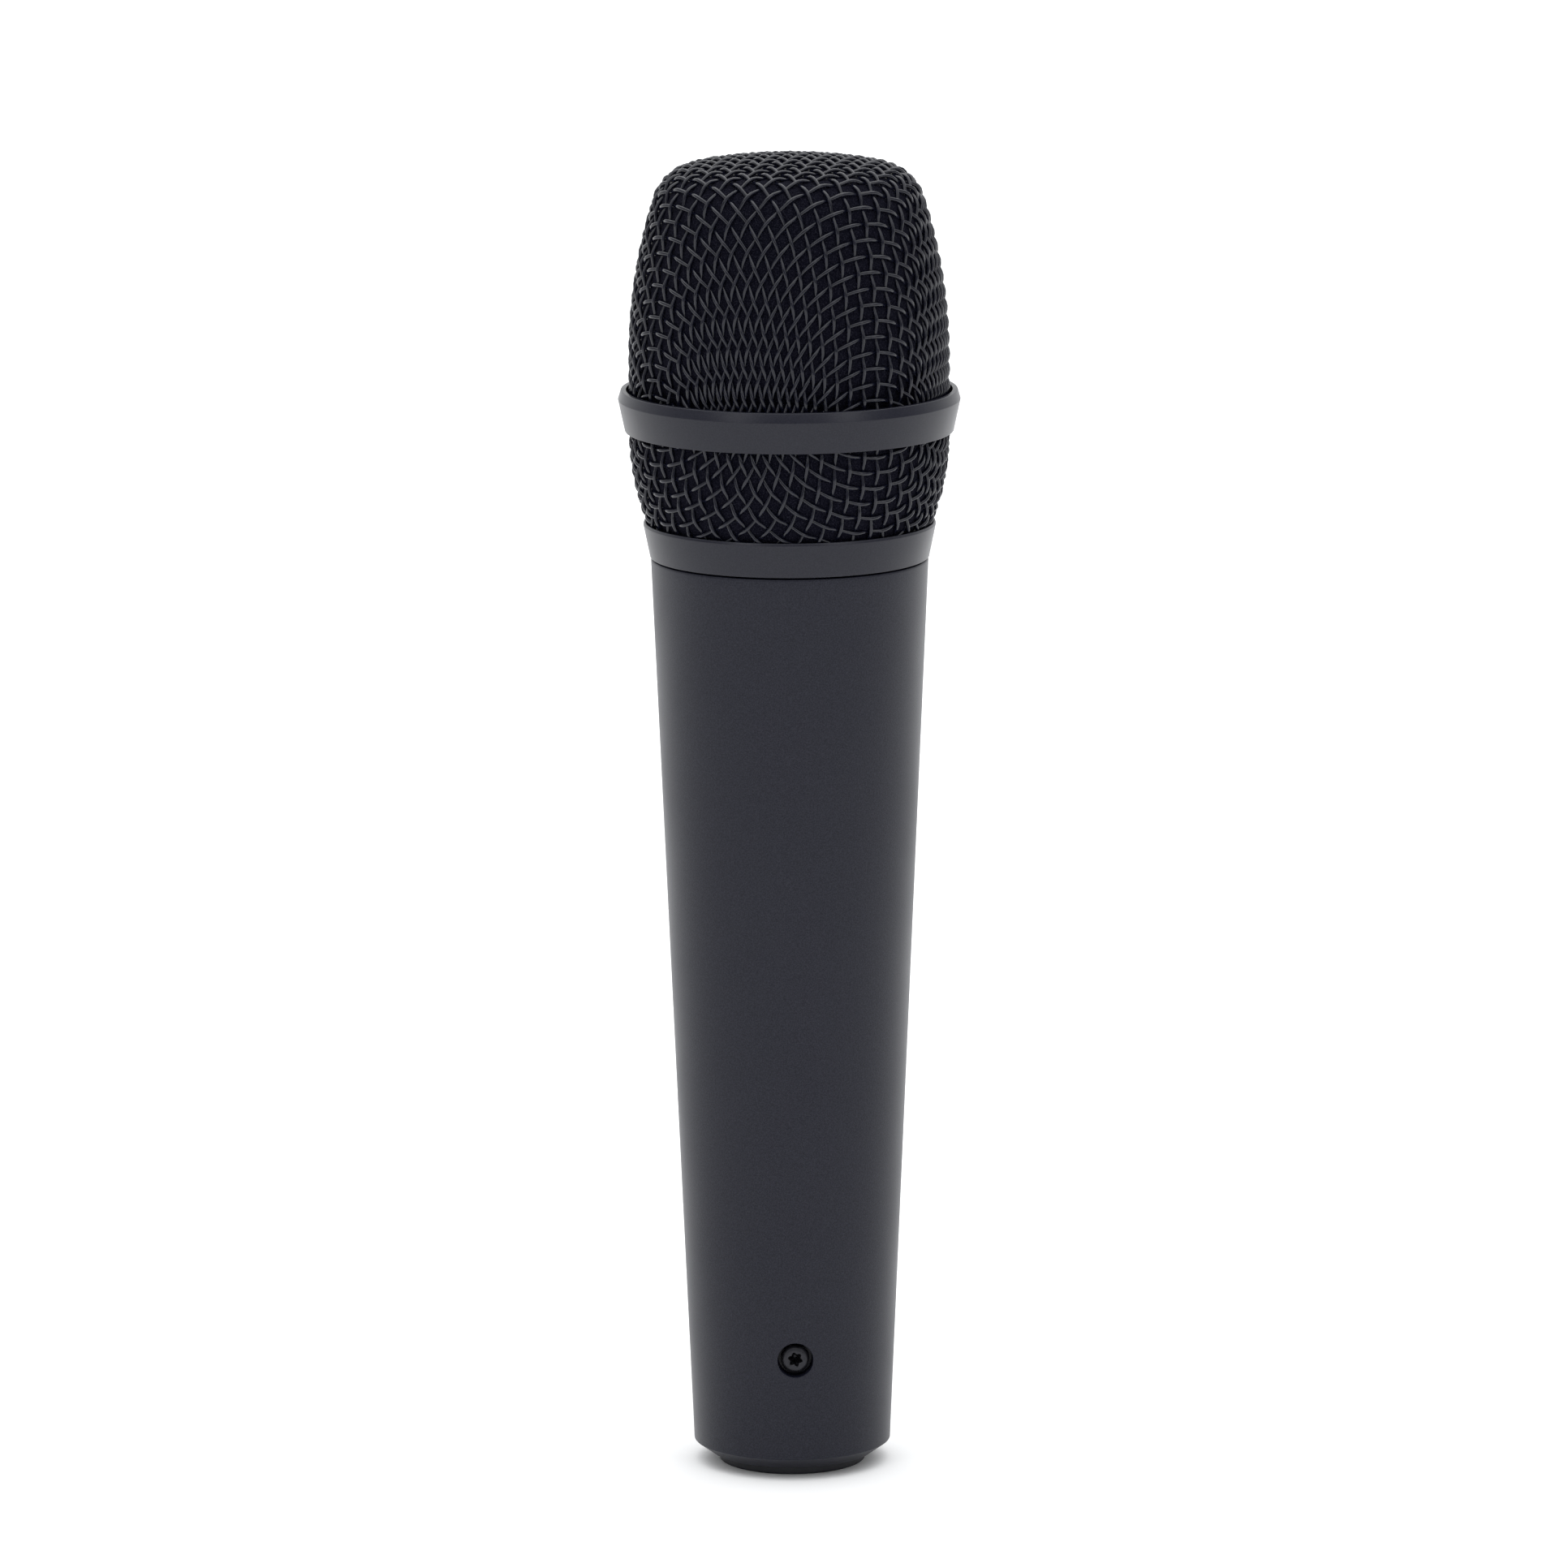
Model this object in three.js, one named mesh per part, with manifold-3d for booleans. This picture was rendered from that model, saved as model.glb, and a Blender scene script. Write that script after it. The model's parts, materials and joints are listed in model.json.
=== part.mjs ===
// A hand-held dynamic microphone: wire grille, moving-coil capsule, tapered handle, three-pin outlet.
// Millimetres, +Z up along the microphone, origin at the middle of its base, retaining screw at -Y.
import * as THREE from 'three';
import { mergeVertices } from 'three/addons/utils/BufferGeometryUtils.js';
import Module from 'manifold-3d';

const wasm = await Module();
wasm.setup();

// ---- driving dimensions -------------------------------------------------------------------
const GAP = 0.3;                // clearance between neighbouring pieces
const WIRE = 0.55;              // grille wire diameter
const MESH = 2 * WIRE;          // thickness of the woven cups
const ROUND = 40;               // facets round an outer turned piece
const INNER = 20;               // facets round an inner turned piece

const HANDLE = {
  foot: 1.3,                    // height of its lower face
  edge: 3.05,                   // top of the chamfer at the foot
  shoulder: 130.0,              // top face, under the collar
  neckTop: 137.4,
  footRadius: 11.5,
  edgeRadius: 13.95,
  shoulderRadius: 19.5,
  wall: 2.3,
  socketBore: 10.75,            // bore that takes the outlet
  socketTop: 28,
  carrierBore: 14.4,            // bore in the neck that takes the capsule carrier
  carrierSeat: 130.2,
};
const THREAD = {
  pitch: 1.5,
  maleRoot: 15.9,
  maleCrest: 16.8,
  femaleCrest: 16.25,
  femaleRoot: 17.1,
  maleStart: 131.3,
  maleTurns: 3.5,
  femaleTurns: 2,
  rootWidth: 0.75,
  crestWidth: 0.25,
  bite: 0.2,                    // how far a ridge sinks into the wall that carries it
  facets: 24,
};
const COLLAR = { bottom: 130.4, floor: 134.0, top: 135.4, sleeveTop: 137.0 };
const RING = { bottom: 148.0, widest: 152.72, top: 154.1, radius: 24.0, web: 21.2 };
const GRILLE = {
  apex: 187.0,
  radius: 22.55,                // outside of the wires at the ring
  domeRadius: 75,
  sideRadius: 73.7,
  shoulderRadius: 6,
  sideStart: 158.5,             // the upper cup is straight below this
  bowlRadius: 31.8,
  bowlStart: 148.0,             // the lower bowl is straight above this
  bowlEnd: 134.4,
};
const FOAM = { bottom: 138.3, innerRadius: 16.6, innerTop: 180.2 };
const OUTLET = {
  radius: 10.4,
  socketRadius: 8.1,
  seatRadius: 8.9,
  step: 15.0,                   // the insert rests on this step
  top: 26.5,
  insertTop: 20.6,
  pinRadius: 1.2,
  pinCircle: 3.75,
  pinTip: 2.0,
  pinTop: 25.0,
  pinAngles: [145, 35, 270],
  keyWidth: 2.2,
  keyDepth: 0.7,
  keyLength: 12,
};
const SCREW = {
  height: 17.65,
  recessRadius: 2.5,
  headRadius: 1.98,
  headTop: 13.95,
  headSeat: 12.5,
  shankRadius: 1.2,
  shankEnd: 9.4,
  socketRadius: 1.05,
  socketDepth: 0.9,
};
const CAPSULE = { radius: 14.0, floor: 148.0, rim: 160.0, capTop: 167.4, tailRadius: 8.6, tailBottom: 124.0 };
const COIL = { inner: 8.65, outer: 9.25, bottom: 156.6, top: 160.4 };
const TRANSFORMER = { bottom: 46, width: 16, height: 19, stack: 9, leg: 5, window: 3.2, yoke: 4 };

// ---- finishes -----------------------------------------------------------------------------
const finish = (color, roughness, metalness) =>
  new THREE.MeshStandardMaterial({ color, roughness, metalness });
const FINISH = {
  satinBlack: finish(0x313237, 0.45, 0.3),
  ringBlack: finish(0x38393e, 0.4, 0.4),
  wireBlack: finish(0x2a2a2f, 0.4, 0.5),
  foam: finish(0x131319, 1.0, 0.0),
  rubber: finish(0x1b1b1d, 0.85, 0.0),
  blackPlastic: finish(0x202226, 0.55, 0.0),
  insertPlastic: finish(0x22262c, 0.6, 0.0),
  pinSilver: finish(0xc9c6bd, 0.3, 1.0),
  steel: finish(0x8d9096, 0.35, 0.9),
  magnet: finish(0xa9abb0, 0.25, 1.0),
  film: finish(0xc9c3a8, 0.3, 0.0),
  copper: finish(0xb8693a, 0.35, 0.9),
  felt: finish(0xbcb7a6, 1.0, 0.0),
  board: finish(0x8a6b3c, 0.6, 0.0),
  bobbin: finish(0xd8d4c4, 0.6, 0.0),
  redWire: finish(0xa32020, 0.5, 0.0),
  blackWire: finish(0x1a1a1a, 0.5, 0.0),
  greenWire: finish(0x2e6b3a, 0.5, 0.0),
  screwBlack: finish(0x1d1d20, 0.4, 0.6),
};

// ---- geometry helpers ---------------------------------------------------------------------
const point = (radius, height) => new THREE.Vector2(radius, height);
const points = pairs => pairs.map(([radius, height]) => point(radius, height));

// Points of an arc about (cx, cz), from one angle to the other, in degrees.
function arc(cx, cz, radius, from, to, steps) {
  return Array.from({ length: steps + 1 }, (_, i) => {
    const angle = THREE.MathUtils.degToRad(from + (to - from) * i / steps);
    return point(cx + radius * Math.cos(angle), cz + radius * Math.sin(angle));
  });
}

// A solid of revolution about Z. The outline starts and ends on the axis, or is closed here.
function turned(outline, facets = INNER) {
  const onAxis = outline[0].x === 0 && outline[outline.length - 1].x === 0;
  const profile = THREE.ShapeUtils.isClockWise(outline) ? [...outline].reverse() : [...outline];
  if (!onAxis) profile.push(profile[0].clone());
  return new THREE.LatheGeometry(profile, facets).rotateX(Math.PI / 2);
}

const tube = (inner, outer, bottom, top, facets) =>
  turned(points([[inner, bottom], [outer, bottom], [outer, top], [inner, top]]), facets);
const disc = (radius, bottom, top, facets) =>
  turned(points([[0, bottom], [radius, bottom], [radius, top], [0, top]]), facets);

// A plain bar between two heights, standing on its outline in X and Y.
function bar(shape, bottom, top) {
  const depth = top - bottom;
  return new THREE.ExtrudeGeometry(shape, { depth, bevelEnabled: false }).translate(0, 0, bottom);
}

function rectangle(width, depth) {
  const x = width / 2;
  const y = depth / 2;
  return new THREE.Shape(points([[-x, -y], [x, -y], [x, y], [-x, y]]));
}

function toSolid(geometry) {
  const bare = geometry.clone();
  bare.deleteAttribute('normal');
  bare.deleteAttribute('uv');
  const merged = mergeVertices(bare, 1e-4);
  const corners = Array.from(merged.index.array);
  const kept = [];
  for (let i = 0; i < corners.length; i += 3) {
    const [a, b, c] = corners.slice(i, i + 3);
    if (a !== b && b !== c && c !== a) kept.push(a, b, c);
  }
  const vertProperties = Float32Array.from(merged.attributes.position.array);
  const mesh = new wasm.Mesh({ numProp: 3, vertProperties, triVerts: Uint32Array.from(kept) });
  mesh.merge();
  return new wasm.Manifold(mesh);
}

function toGeometry(solid) {
  const { vertProperties, triVerts } = solid.getMesh();
  const geometry = new THREE.BufferGeometry();
  geometry.setAttribute('position', new THREE.BufferAttribute(vertProperties, 3));
  geometry.setIndex(new THREE.BufferAttribute(triVerts, 1));
  return geometry;
}

function cut(body, ...tools) {
  return toGeometry(tools.reduce((solid, tool) => solid.subtract(toSolid(tool)), toSolid(body)));
}

function join(body, ...others) {
  return toGeometry(others.reduce((solid, other) => solid.add(toSolid(other)), toSolid(body)));
}

// A right-hand helical ridge on a wall, running out to nothing at both ends: a ring of quads
// from LatheGeometry, wound on over several turns.
// sinkRadius is inside the wall, crestRadius is the ridge's free edge.
function helicalRidge(sinkRadius, crestRadius, start, turns) {
  const { rootWidth, crestWidth, pitch, facets } = THREAD;
  const steps = turns * facets;
  const section = points([
    [sinkRadius, -rootWidth / 2], [crestRadius, -crestWidth / 2],
    [crestRadius, crestWidth / 2], [sinkRadius, rootWidth / 2],
  ]);
  const loop = THREE.ShapeUtils.isClockWise(section) ? section.reverse() : section;
  loop.push(loop[0].clone());
  const geometry = new THREE.LatheGeometry(loop, steps);
  const position = geometry.attributes.position;
  for (let i = 0; i < position.count; i += 1) {
    const step = Math.floor(i / loop.length);
    const { x, y } = loop[i % loop.length];
    const ending = step === 0 || step === steps;
    const radius = ending ? sinkRadius : x;
    const angle = 2 * Math.PI * step / facets;
    const rise = start + pitch * step / facets + (ending ? 0 : y);
    position.setXYZ(i, radius * Math.sin(angle), rise, radius * Math.cos(angle));
  }
  return geometry.rotateX(Math.PI / 2);
}

// A round hole or peg lying along Y, from one distance to another in front of the axis.
function pegAlongY(radius, near, far, height, facets = 20) {
  return new THREE.CylinderGeometry(radius, radius, far - near, facets)
    .translate(0, -(near + far) / 2, height);
}

// ---- handle -------------------------------------------------------------------------------
const handleRadius = height => THREE.MathUtils.mapLinear(
  height, HANDLE.edge, HANDLE.shoulder, HANDLE.edgeRadius, HANDLE.shoulderRadius);

function handleBody() {
  const { foot, edge, shoulder, neckTop, wall, socketBore, socketTop, carrierBore, carrierSeat } = HANDLE;
  const shell = turned(points([
    [socketBore, foot],
    [HANDLE.footRadius, foot],
    [HANDLE.edgeRadius, edge],
    [HANDLE.shoulderRadius - 0.15, shoulder - 3.4],
    [HANDLE.shoulderRadius, shoulder],
    [THREAD.maleRoot, shoulder],
    [THREAD.maleRoot, neckTop - 0.4],
    [THREAD.maleRoot - 0.4, neckTop],
    [carrierBore, neckTop],
    [carrierBore, carrierSeat],
    [carrierBore - 1, carrierSeat],
    [carrierBore - 1, 124],
    [handleRadius(121) - wall, 121],
    [handleRadius(socketTop + 1.5) - wall, socketTop + 1.5],
    [socketBore, socketTop],
  ]), ROUND);
  const { maleRoot, maleCrest, maleStart, maleTurns, bite } = THREAD;
  const ridge = helicalRidge(maleRoot - bite, maleCrest, maleStart, maleTurns);
  const threaded = join(shell, ridge);
  const { recessRadius, headSeat, shankRadius, height } = SCREW;
  const recess = pegAlongY(recessRadius, headSeat - GAP, handleRadius(height) + 1, height);
  const shankHole = pegAlongY(shankRadius + GAP, socketBore - 1, headSeat, height);
  return cut(threaded, recess, shankHole);
}

// ---- grille -------------------------------------------------------------------------------
// Where two circles cross, on the side with the larger radius coordinate.
function crossing(a, ra, b, rb) {
  const apart = a.distanceTo(b);
  const along = (ra * ra - rb * rb + apart * apart) / (2 * apart);
  const across = Math.sqrt(ra * ra - along * along);
  const unit = b.clone().sub(a).divideScalar(apart);
  const foot = a.clone().addScaledVector(unit, along);
  const side = point(-unit.y, unit.x);
  const options = [across, -across].map(shift => foot.clone().addScaledVector(side, shift));
  return options[0].x > options[1].x ? options[0] : options[1];
}

// The upper cup's outline, moved inwards by depth: straight foot, bowed side, shoulder, shallow dome.
function cupOutline(depth, bottom) {
  const { apex, radius, domeRadius, sideRadius, shoulderRadius, sideStart } = GRILLE;
  const dome = point(0, apex - domeRadius);
  const side = point(radius - sideRadius, sideStart);
  const shoulder = crossing(dome, domeRadius - shoulderRadius, side, sideRadius - shoulderRadius);
  const angleFrom = centre => THREE.MathUtils.radToDeg(shoulder.clone().sub(centre).angle());
  const sideEnd = angleFrom(side);
  const domeEnd = angleFrom(dome);
  return [
    point(radius - depth, bottom),
    ...arc(side.x, side.y, sideRadius - depth, 0, sideEnd, 3),
    ...arc(shoulder.x, shoulder.y, shoulderRadius - depth, sideEnd, domeEnd, 3).slice(1),
    ...arc(dome.x, dome.y, domeRadius - depth, domeEnd, 90, 2).slice(1, -1),
    point(0, apex - depth),
  ];
}

// The lower bowl's outline from its straight top edge down, moved inwards by depth.
function bowlOutline(depth, top, bottom) {
  const { radius, bowlRadius, bowlStart } = GRILLE;
  const reach = -THREE.MathUtils.radToDeg(Math.asin((bowlStart - bottom) / (bowlRadius - depth)));
  return [
    point(radius - depth, top),
    ...arc(radius - bowlRadius, bowlStart, bowlRadius - depth, 0, reach, 4),
  ];
}

function grilleMeshUpper() {
  const bottom = RING.widest - 0.4;
  return turned([...cupOutline(0, bottom), ...cupOutline(MESH, bottom).reverse()], ROUND);
}

function grilleMeshLower() {
  const top = RING.widest - 2.7;
  const { bowlEnd } = GRILLE;
  return turned([...bowlOutline(0, top, bowlEnd), ...bowlOutline(MESH, top, bowlEnd).reverse()], ROUND);
}

function grilleRing() {
  const lip = GRILLE.radius + GAP;
  const { bottom, widest, top, radius, web } = RING;
  return turned(points([
    [lip, top], [radius - 0.45, top - 0.05], [radius, widest],
    [radius - 0.87, bottom + 0.4], [radius - 1.0, bottom + 0.1], [lip, bottom],
    [lip, widest - 2.4], [web, widest - 2.4], [web, widest - 0.7], [lip, widest - 0.7],
  ]), ROUND);
}

function grilleCollar() {
  const { bottom, floor, top, sleeveTop } = COLLAR;
  const { femaleRoot, femaleCrest, maleStart, pitch, femaleTurns, bite } = THREAD;
  const blank = turned(points([
    [18.3, bottom], [19.5, bottom], [19.72, bottom + 0.2],
    [20.55, top - 0.4], [20.3, top],
    [20.2, top], [19.85, floor], [18.1, floor],
    [18.1, sleeveTop], [femaleRoot, sleeveTop],
    [femaleRoot, bottom + 1.5], [18.3, bottom + 1.5],
  ]), ROUND);
  const start = maleStart + pitch * 1.5;
  return join(blank, helicalRidge(femaleRoot + bite, femaleCrest, start, femaleTurns));
}

const grilleSeal = () => tube(17.15, 18.0, COLLAR.bottom - 0.1, COLLAR.bottom + 1.2, ROUND);

function foamWindscreen() {
  const { bottom, innerRadius, innerTop } = FOAM;
  const depth = MESH + GAP;
  const straight = cupOutline(depth, RING.widest).slice(1);
  const bowl = bowlOutline(depth, RING.widest - 2.7, bottom).slice(1);
  const neck = RING.web - GAP;
  return turned([
    ...bowl.reverse(),
    point(neck, RING.widest - 3.2), point(neck, RING.widest + 0.2),
    ...straight,
    point(0, innerTop), point(innerRadius - 5, innerTop - 1), point(innerRadius, innerTop - 6),
    point(innerRadius, bottom),
  ], INNER);
}

// ---- outlet -------------------------------------------------------------------------------
function outletHousing() {
  const { radius, socketRadius, seatRadius, step, top, keyWidth, keyDepth, keyLength } = OUTLET;
  const shell = turned(points([
    [socketRadius + 0.4, 0], [radius - 0.2, 0], [radius, 0.2], [radius, top],
    [seatRadius, top], [seatRadius, step], [socketRadius, step], [socketRadius, 0.4],
  ]), ROUND);
  const key = new THREE.BoxGeometry(keyWidth, 2 * keyDepth, keyLength + 1)
    .translate(0, socketRadius, (keyLength - 1) / 2);
  const screwHole = pegAlongY(SCREW.shankRadius + GAP, seatRadius - 1, radius + 1, SCREW.height, 16);
  return cut(shell, key, screwHole);
}

function pinPlace(index) {
  const angle = THREE.MathUtils.degToRad(OUTLET.pinAngles[index]);
  return [OUTLET.pinCircle * Math.cos(angle), OUTLET.pinCircle * Math.sin(angle)];
}

function outletInsert() {
  const { seatRadius, step, insertTop, pinRadius } = OUTLET;
  const holes = OUTLET.pinAngles.map((_, i) =>
    disc(pinRadius + GAP, step - 1, insertTop + 1, 12).translate(...pinPlace(i), 0));
  return cut(disc(seatRadius - GAP, step + GAP, insertTop), ...holes);
}

function outletPin() {
  const { pinRadius, pinTip, pinTop } = OUTLET;
  return turned(points([
    [0, pinTip], [pinRadius * 0.6, pinTip + 0.15], [pinRadius, pinTip + 0.9],
    [pinRadius, pinTop], [pinRadius - 0.35, pinTop], [pinRadius - 0.35, pinTop - 3], [0, pinTop - 3],
  ]), 12);
}

// Six-lobe driver socket, as a star with rounded flanks.
function lobedStar(radius) {
  const count = 36;
  return new THREE.Shape(Array.from({ length: count }, (_, i) => {
    const angle = 2 * Math.PI * i / count;
    const reach = radius * (0.86 + 0.14 * Math.cos(6 * angle));
    return point(reach * Math.cos(angle), reach * Math.sin(angle));
  }));
}

function outletScrew() {
  const { headRadius, headTop, headSeat, shankRadius, shankEnd, socketRadius, socketDepth, height } = SCREW;
  const blank = turned(points([
    [0, shankEnd], [shankRadius - 0.3, shankEnd], [shankRadius, shankEnd + 0.4],
    [shankRadius, headSeat], [headRadius, headSeat], [headRadius, headSeat + 0.35],
    [headRadius * 0.86, headTop - 0.4], [headRadius * 0.6, headTop - 0.08], [0, headTop],
  ]), 24);
  const socket = bar(lobedStar(socketRadius), headTop - socketDepth, headTop + 1);
  return cut(blank, socket).rotateX(Math.PI / 2).translate(0, 0, height);
}

// ---- capsule ------------------------------------------------------------------------------
function capsuleHousing() {
  const { radius, floor, rim } = CAPSULE;
  const cup = turned(points([
    [4, floor], [radius - 0.5, floor], [radius, floor + 0.5], [radius, rim],
    [radius - 1, rim], [radius - 1, floor + 1.5], [4, floor + 1.5],
  ]));
  const port = disc(1.1, floor - 1, floor + 3, 8);
  const ports = Array.from({ length: 4 }, (_, i) => {
    const angle = Math.PI * i / 2;
    return port.clone().translate(12.2 * Math.cos(angle), 12.2 * Math.sin(angle), 0);
  });
  return cut(cup, ...ports);
}

const yoke = () => turned(points([
  [2, 149.8], [11, 149.8], [11, 159], [9.9, 159], [9.9, 151.8], [2, 151.8],
]));
const magnet = () => disc(7.4, 152.1, 156.2);
const polePiece = () => turned(points([
  [0, 156.5], [7.7, 156.5], [8.1, 156.9], [8.1, 158.9], [7.8, 159.2], [0, 159.2],
]));
const voiceCoil = () => tube(COIL.inner, COIL.outer, COIL.bottom, COIL.top);

// Thin domed film with a rolled surround, turned from one outline and the same outline moved down.
function diaphragm() {
  const thickness = 0.25;
  const seat = COIL.top + GAP + thickness;
  const dome = arc(0, seat - 10.5, 14, 90, 49, 4);
  const roll = arc(10.9, seat + 0.1, 1.3, 165, 15, 3);
  const top = [...dome, ...roll, point(12.2, seat + 0.1)];
  top[0].x = 0;
  const under = top.map(({ x, y }) => point(x, y - thickness)).reverse();
  return turned([...top, ...under]);
}

const diaphragmRing = () => tube(12.6, CAPSULE.radius, CAPSULE.rim + GAP, CAPSULE.rim + 1.6);

function frontCap() {
  const { radius, rim, capTop } = CAPSULE;
  const bottom = rim + 1.9;
  const cap = turned(points([
    [0, capTop], [radius - 1.6, capTop], [radius, capTop - 1.6], [radius, bottom],
    [radius - 1, bottom], [radius - 1, capTop - 1.8], [radius - 2, capTop - 1], [0, capTop - 1],
  ]));
  const hole = disc(1.25, capTop - 2, capTop + 1, 8);
  const holes = Array.from({ length: 6 }, (_, i) => {
    const angle = Math.PI * i / 3;
    return hole.clone().translate(7.6 * Math.cos(angle), 7.6 * Math.sin(angle), 0);
  });
  return cut(cap, hole, ...holes);
}

function rearChamber() {
  const { tailRadius, tailBottom, floor } = CAPSULE;
  return turned(points([
    [0, tailBottom], [tailRadius - 0.6, tailBottom], [tailRadius, tailBottom + 0.6],
    [tailRadius, floor - GAP],
    [tailRadius - 1, floor - GAP], [tailRadius - 1, tailBottom + 1], [0, tailBottom + 1],
  ]));
}

const dampingFelt = () => tube(1.5, CAPSULE.tailRadius - 1.3, CAPSULE.floor - 2, CAPSULE.floor - 0.8);
const terminalBoard = () => disc(7.6, CAPSULE.tailBottom - 1.7, CAPSULE.tailBottom - GAP);
const terminal = side => new THREE.BoxGeometry(1.8, 0.5, 4.2).translate(side * 3.2, 0, 119.9);

function carrierRing() {
  const { carrierBore, carrierSeat, neckTop } = HANDLE;
  const outer = carrierBore - GAP;
  return turned(points([
    [outer - 1.3, carrierSeat + GAP], [outer, carrierSeat + GAP], [outer, neckTop - 0.5],
    [outer - 0.3, neckTop - 0.2], [outer - 1.3, neckTop - 0.2],
  ]));
}

// Rubber ring with a thin bowed web between the carrier and the capsule's tail.
function shockMount() {
  const inner = CAPSULE.tailRadius + GAP;
  const outer = HANDLE.carrierBore - 1.9;
  return turned(points([
    [inner, 129.6], [inner + 1.1, 129.6], [inner + 1.1, 132.4], [outer - 1, 133.6], [outer - 1, 131.2],
    [outer, 131.2], [outer, 136.4], [outer - 1, 136.4], [outer - 1, 134.8], [inner + 1.1, 133.6],
    [inner + 1.1, 136.6], [inner, 136.6],
  ]));
}

// ---- transformer --------------------------------------------------------------------------
function transformerCore() {
  const { bottom, width, height, stack, leg, window, yoke: band } = TRANSFORMER;
  const middle = bottom + height / 2;
  const block = new THREE.BoxGeometry(width, stack, height).translate(0, 0, middle);
  const opening = new THREE.BoxGeometry(window, stack + 2, height - 2 * band).translate(0, 0, middle);
  const shift = (leg + window) / 2;
  return cut(block, opening.clone().translate(shift, 0, 0), opening.clone().translate(-shift, 0, 0));
}

function hollowBar(outerSize, innerSize, bottom, top) {
  const shape = rectangle(...outerSize);
  shape.holes.push(rectangle(...innerSize));
  return bar(shape, bottom, top);
}

function transformerBobbin() {
  const { bottom, height, stack, leg, yoke: band } = TRANSFORMER;
  const low = bottom + band + GAP;
  const high = bottom + height - band - GAP;
  const bore = [leg + 2 * GAP, stack + 2 * GAP];
  const flange = [leg + 5.6, stack + 6.8];
  const sleeve = hollowBar([leg + 1.8, stack + 1.8], bore, low, high);
  return join(sleeve, hollowBar(flange, bore, low, low + 0.7), hollowBar(flange, bore, high - 0.7, high));
}

function transformerWinding() {
  const { bottom, height, stack, leg, yoke: band } = TRANSFORMER;
  const low = bottom + band + 2 * GAP + 0.7;
  const high = bottom + height - band - 2 * GAP - 0.7;
  return hollowBar([leg + 5.2, stack + 6.2], [leg + 2.4, stack + 2.4], low, high);
}

const transformerSleeve = () =>
  tube(9.8, 12.7, TRANSFORMER.bottom - 2, TRANSFORMER.bottom + TRANSFORMER.height + 2);

// ---- internal leads -----------------------------------------------------------------------
function lead(route) {
  const section = new THREE.Shape(arc(0, 0, 0.55, 0, 300, 5));
  const path = new THREE.CatmullRomCurve3(route.map(place => new THREE.Vector3(...place)));
  const steps = 2 * route.length;
  return new THREE.ExtrudeGeometry(section, { extrudePath: path, steps, bevelEnabled: false });
}

const capsuleLead = side => lead([
  [side * 3.2, 0, 117.4], [side * 3.4, 0.4, 113], [side * 4.6, 2.5, 100],
  [side * 5.4, 5, 86], [side * 4, 6.9, 73], [side * 2.6, 6.9, 66], [side * 2.6, 6.9, 61.4],
]);
const outputLead = (x, index) => lead([
  [x, -6.9, 49.8], [x, -6.9, 46], [x * 1.3, -6.2, 40], [pinPlace(index)[0] * 1.2, -3, 33],
  [pinPlace(index)[0], pinPlace(index)[1], 28.4], [pinPlace(index)[0], pinPlace(index)[1], 25.4],
]);
const groundLead = () => lead([
  [pinPlace(0)[0], pinPlace(0)[1], 25.4], [pinPlace(0)[0], pinPlace(0)[1], 28.4],
  [-6, 3.4, 31.5], [-8.8, 4.6, 34], [-10.2, 5.2, 37], [-10.6, 5.5, 41],
]);

// ---- assembly -----------------------------------------------------------------------------
const microphone = new THREE.Group();

function add(name, geometry, material) {
  const mesh = new THREE.Mesh(geometry, material);
  mesh.name = name;
  microphone.add(mesh);
  return mesh;
}

add('handle_body', handleBody(), FINISH.satinBlack);

add('grille_ring', grilleRing(), FINISH.ringBlack);
add('grille_collar', grilleCollar(), FINISH.ringBlack);
add('grille_mesh_upper', grilleMeshUpper(), FINISH.wireBlack);
add('grille_mesh_lower', grilleMeshLower(), FINISH.wireBlack);
add('foam_windscreen', foamWindscreen(), FINISH.foam);
add('grille_seal', grilleSeal(), FINISH.rubber);

add('xlr_housing', outletHousing(), FINISH.blackPlastic);
add('xlr_insert', outletInsert(), FINISH.insertPlastic);
OUTLET.pinAngles.forEach((_, i) => {
  add(`xlr_pin_${i + 1}`, outletPin(), FINISH.pinSilver).position.set(...pinPlace(i), 0);
});
add('xlr_screw', outletScrew(), FINISH.screwBlack);

add('capsule_housing', capsuleHousing(), FINISH.blackPlastic);
add('yoke', yoke(), FINISH.steel);
add('magnet', magnet(), FINISH.magnet);
add('pole_piece', polePiece(), FINISH.steel);
add('voice_coil', voiceCoil(), FINISH.copper);
add('diaphragm', diaphragm(), FINISH.film);
add('diaphragm_ring', diaphragmRing(), FINISH.blackPlastic);
add('front_cap', frontCap(), FINISH.blackPlastic);
add('rear_chamber', rearChamber(), FINISH.blackPlastic);
add('damping_felt', dampingFelt(), FINISH.felt);
add('terminal_board', terminalBoard(), FINISH.board);
add('terminal_hot', terminal(1), FINISH.pinSilver);
add('terminal_cold', terminal(-1), FINISH.pinSilver);
add('carrier_ring', carrierRing(), FINISH.blackPlastic);
add('shock_mount', shockMount(), FINISH.rubber);

add('transformer_core', transformerCore(), FINISH.steel);
add('transformer_bobbin', transformerBobbin(), FINISH.bobbin);
add('transformer_winding', transformerWinding(), FINISH.copper);
add('transformer_sleeve', transformerSleeve(), FINISH.foam);
add('capsule_lead_hot', capsuleLead(1), FINISH.redWire);
add('capsule_lead_cold', capsuleLead(-1), FINISH.blackWire);
add('output_lead_hot', outputLead(1.8, 1), FINISH.redWire);
add('output_lead_cold', outputLead(-1.8, 2), FINISH.blackWire);
add('ground_lead', groundLead(), FINISH.greenWire);

export default microphone;
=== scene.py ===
"""The looks of a hand-held dynamic microphone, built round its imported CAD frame.

The microphone stands along Z with its retaining screw at -Y. Outlines are in millimetres, and a mesh is
turned into metres where it is made.
"""

import json
import math

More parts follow.
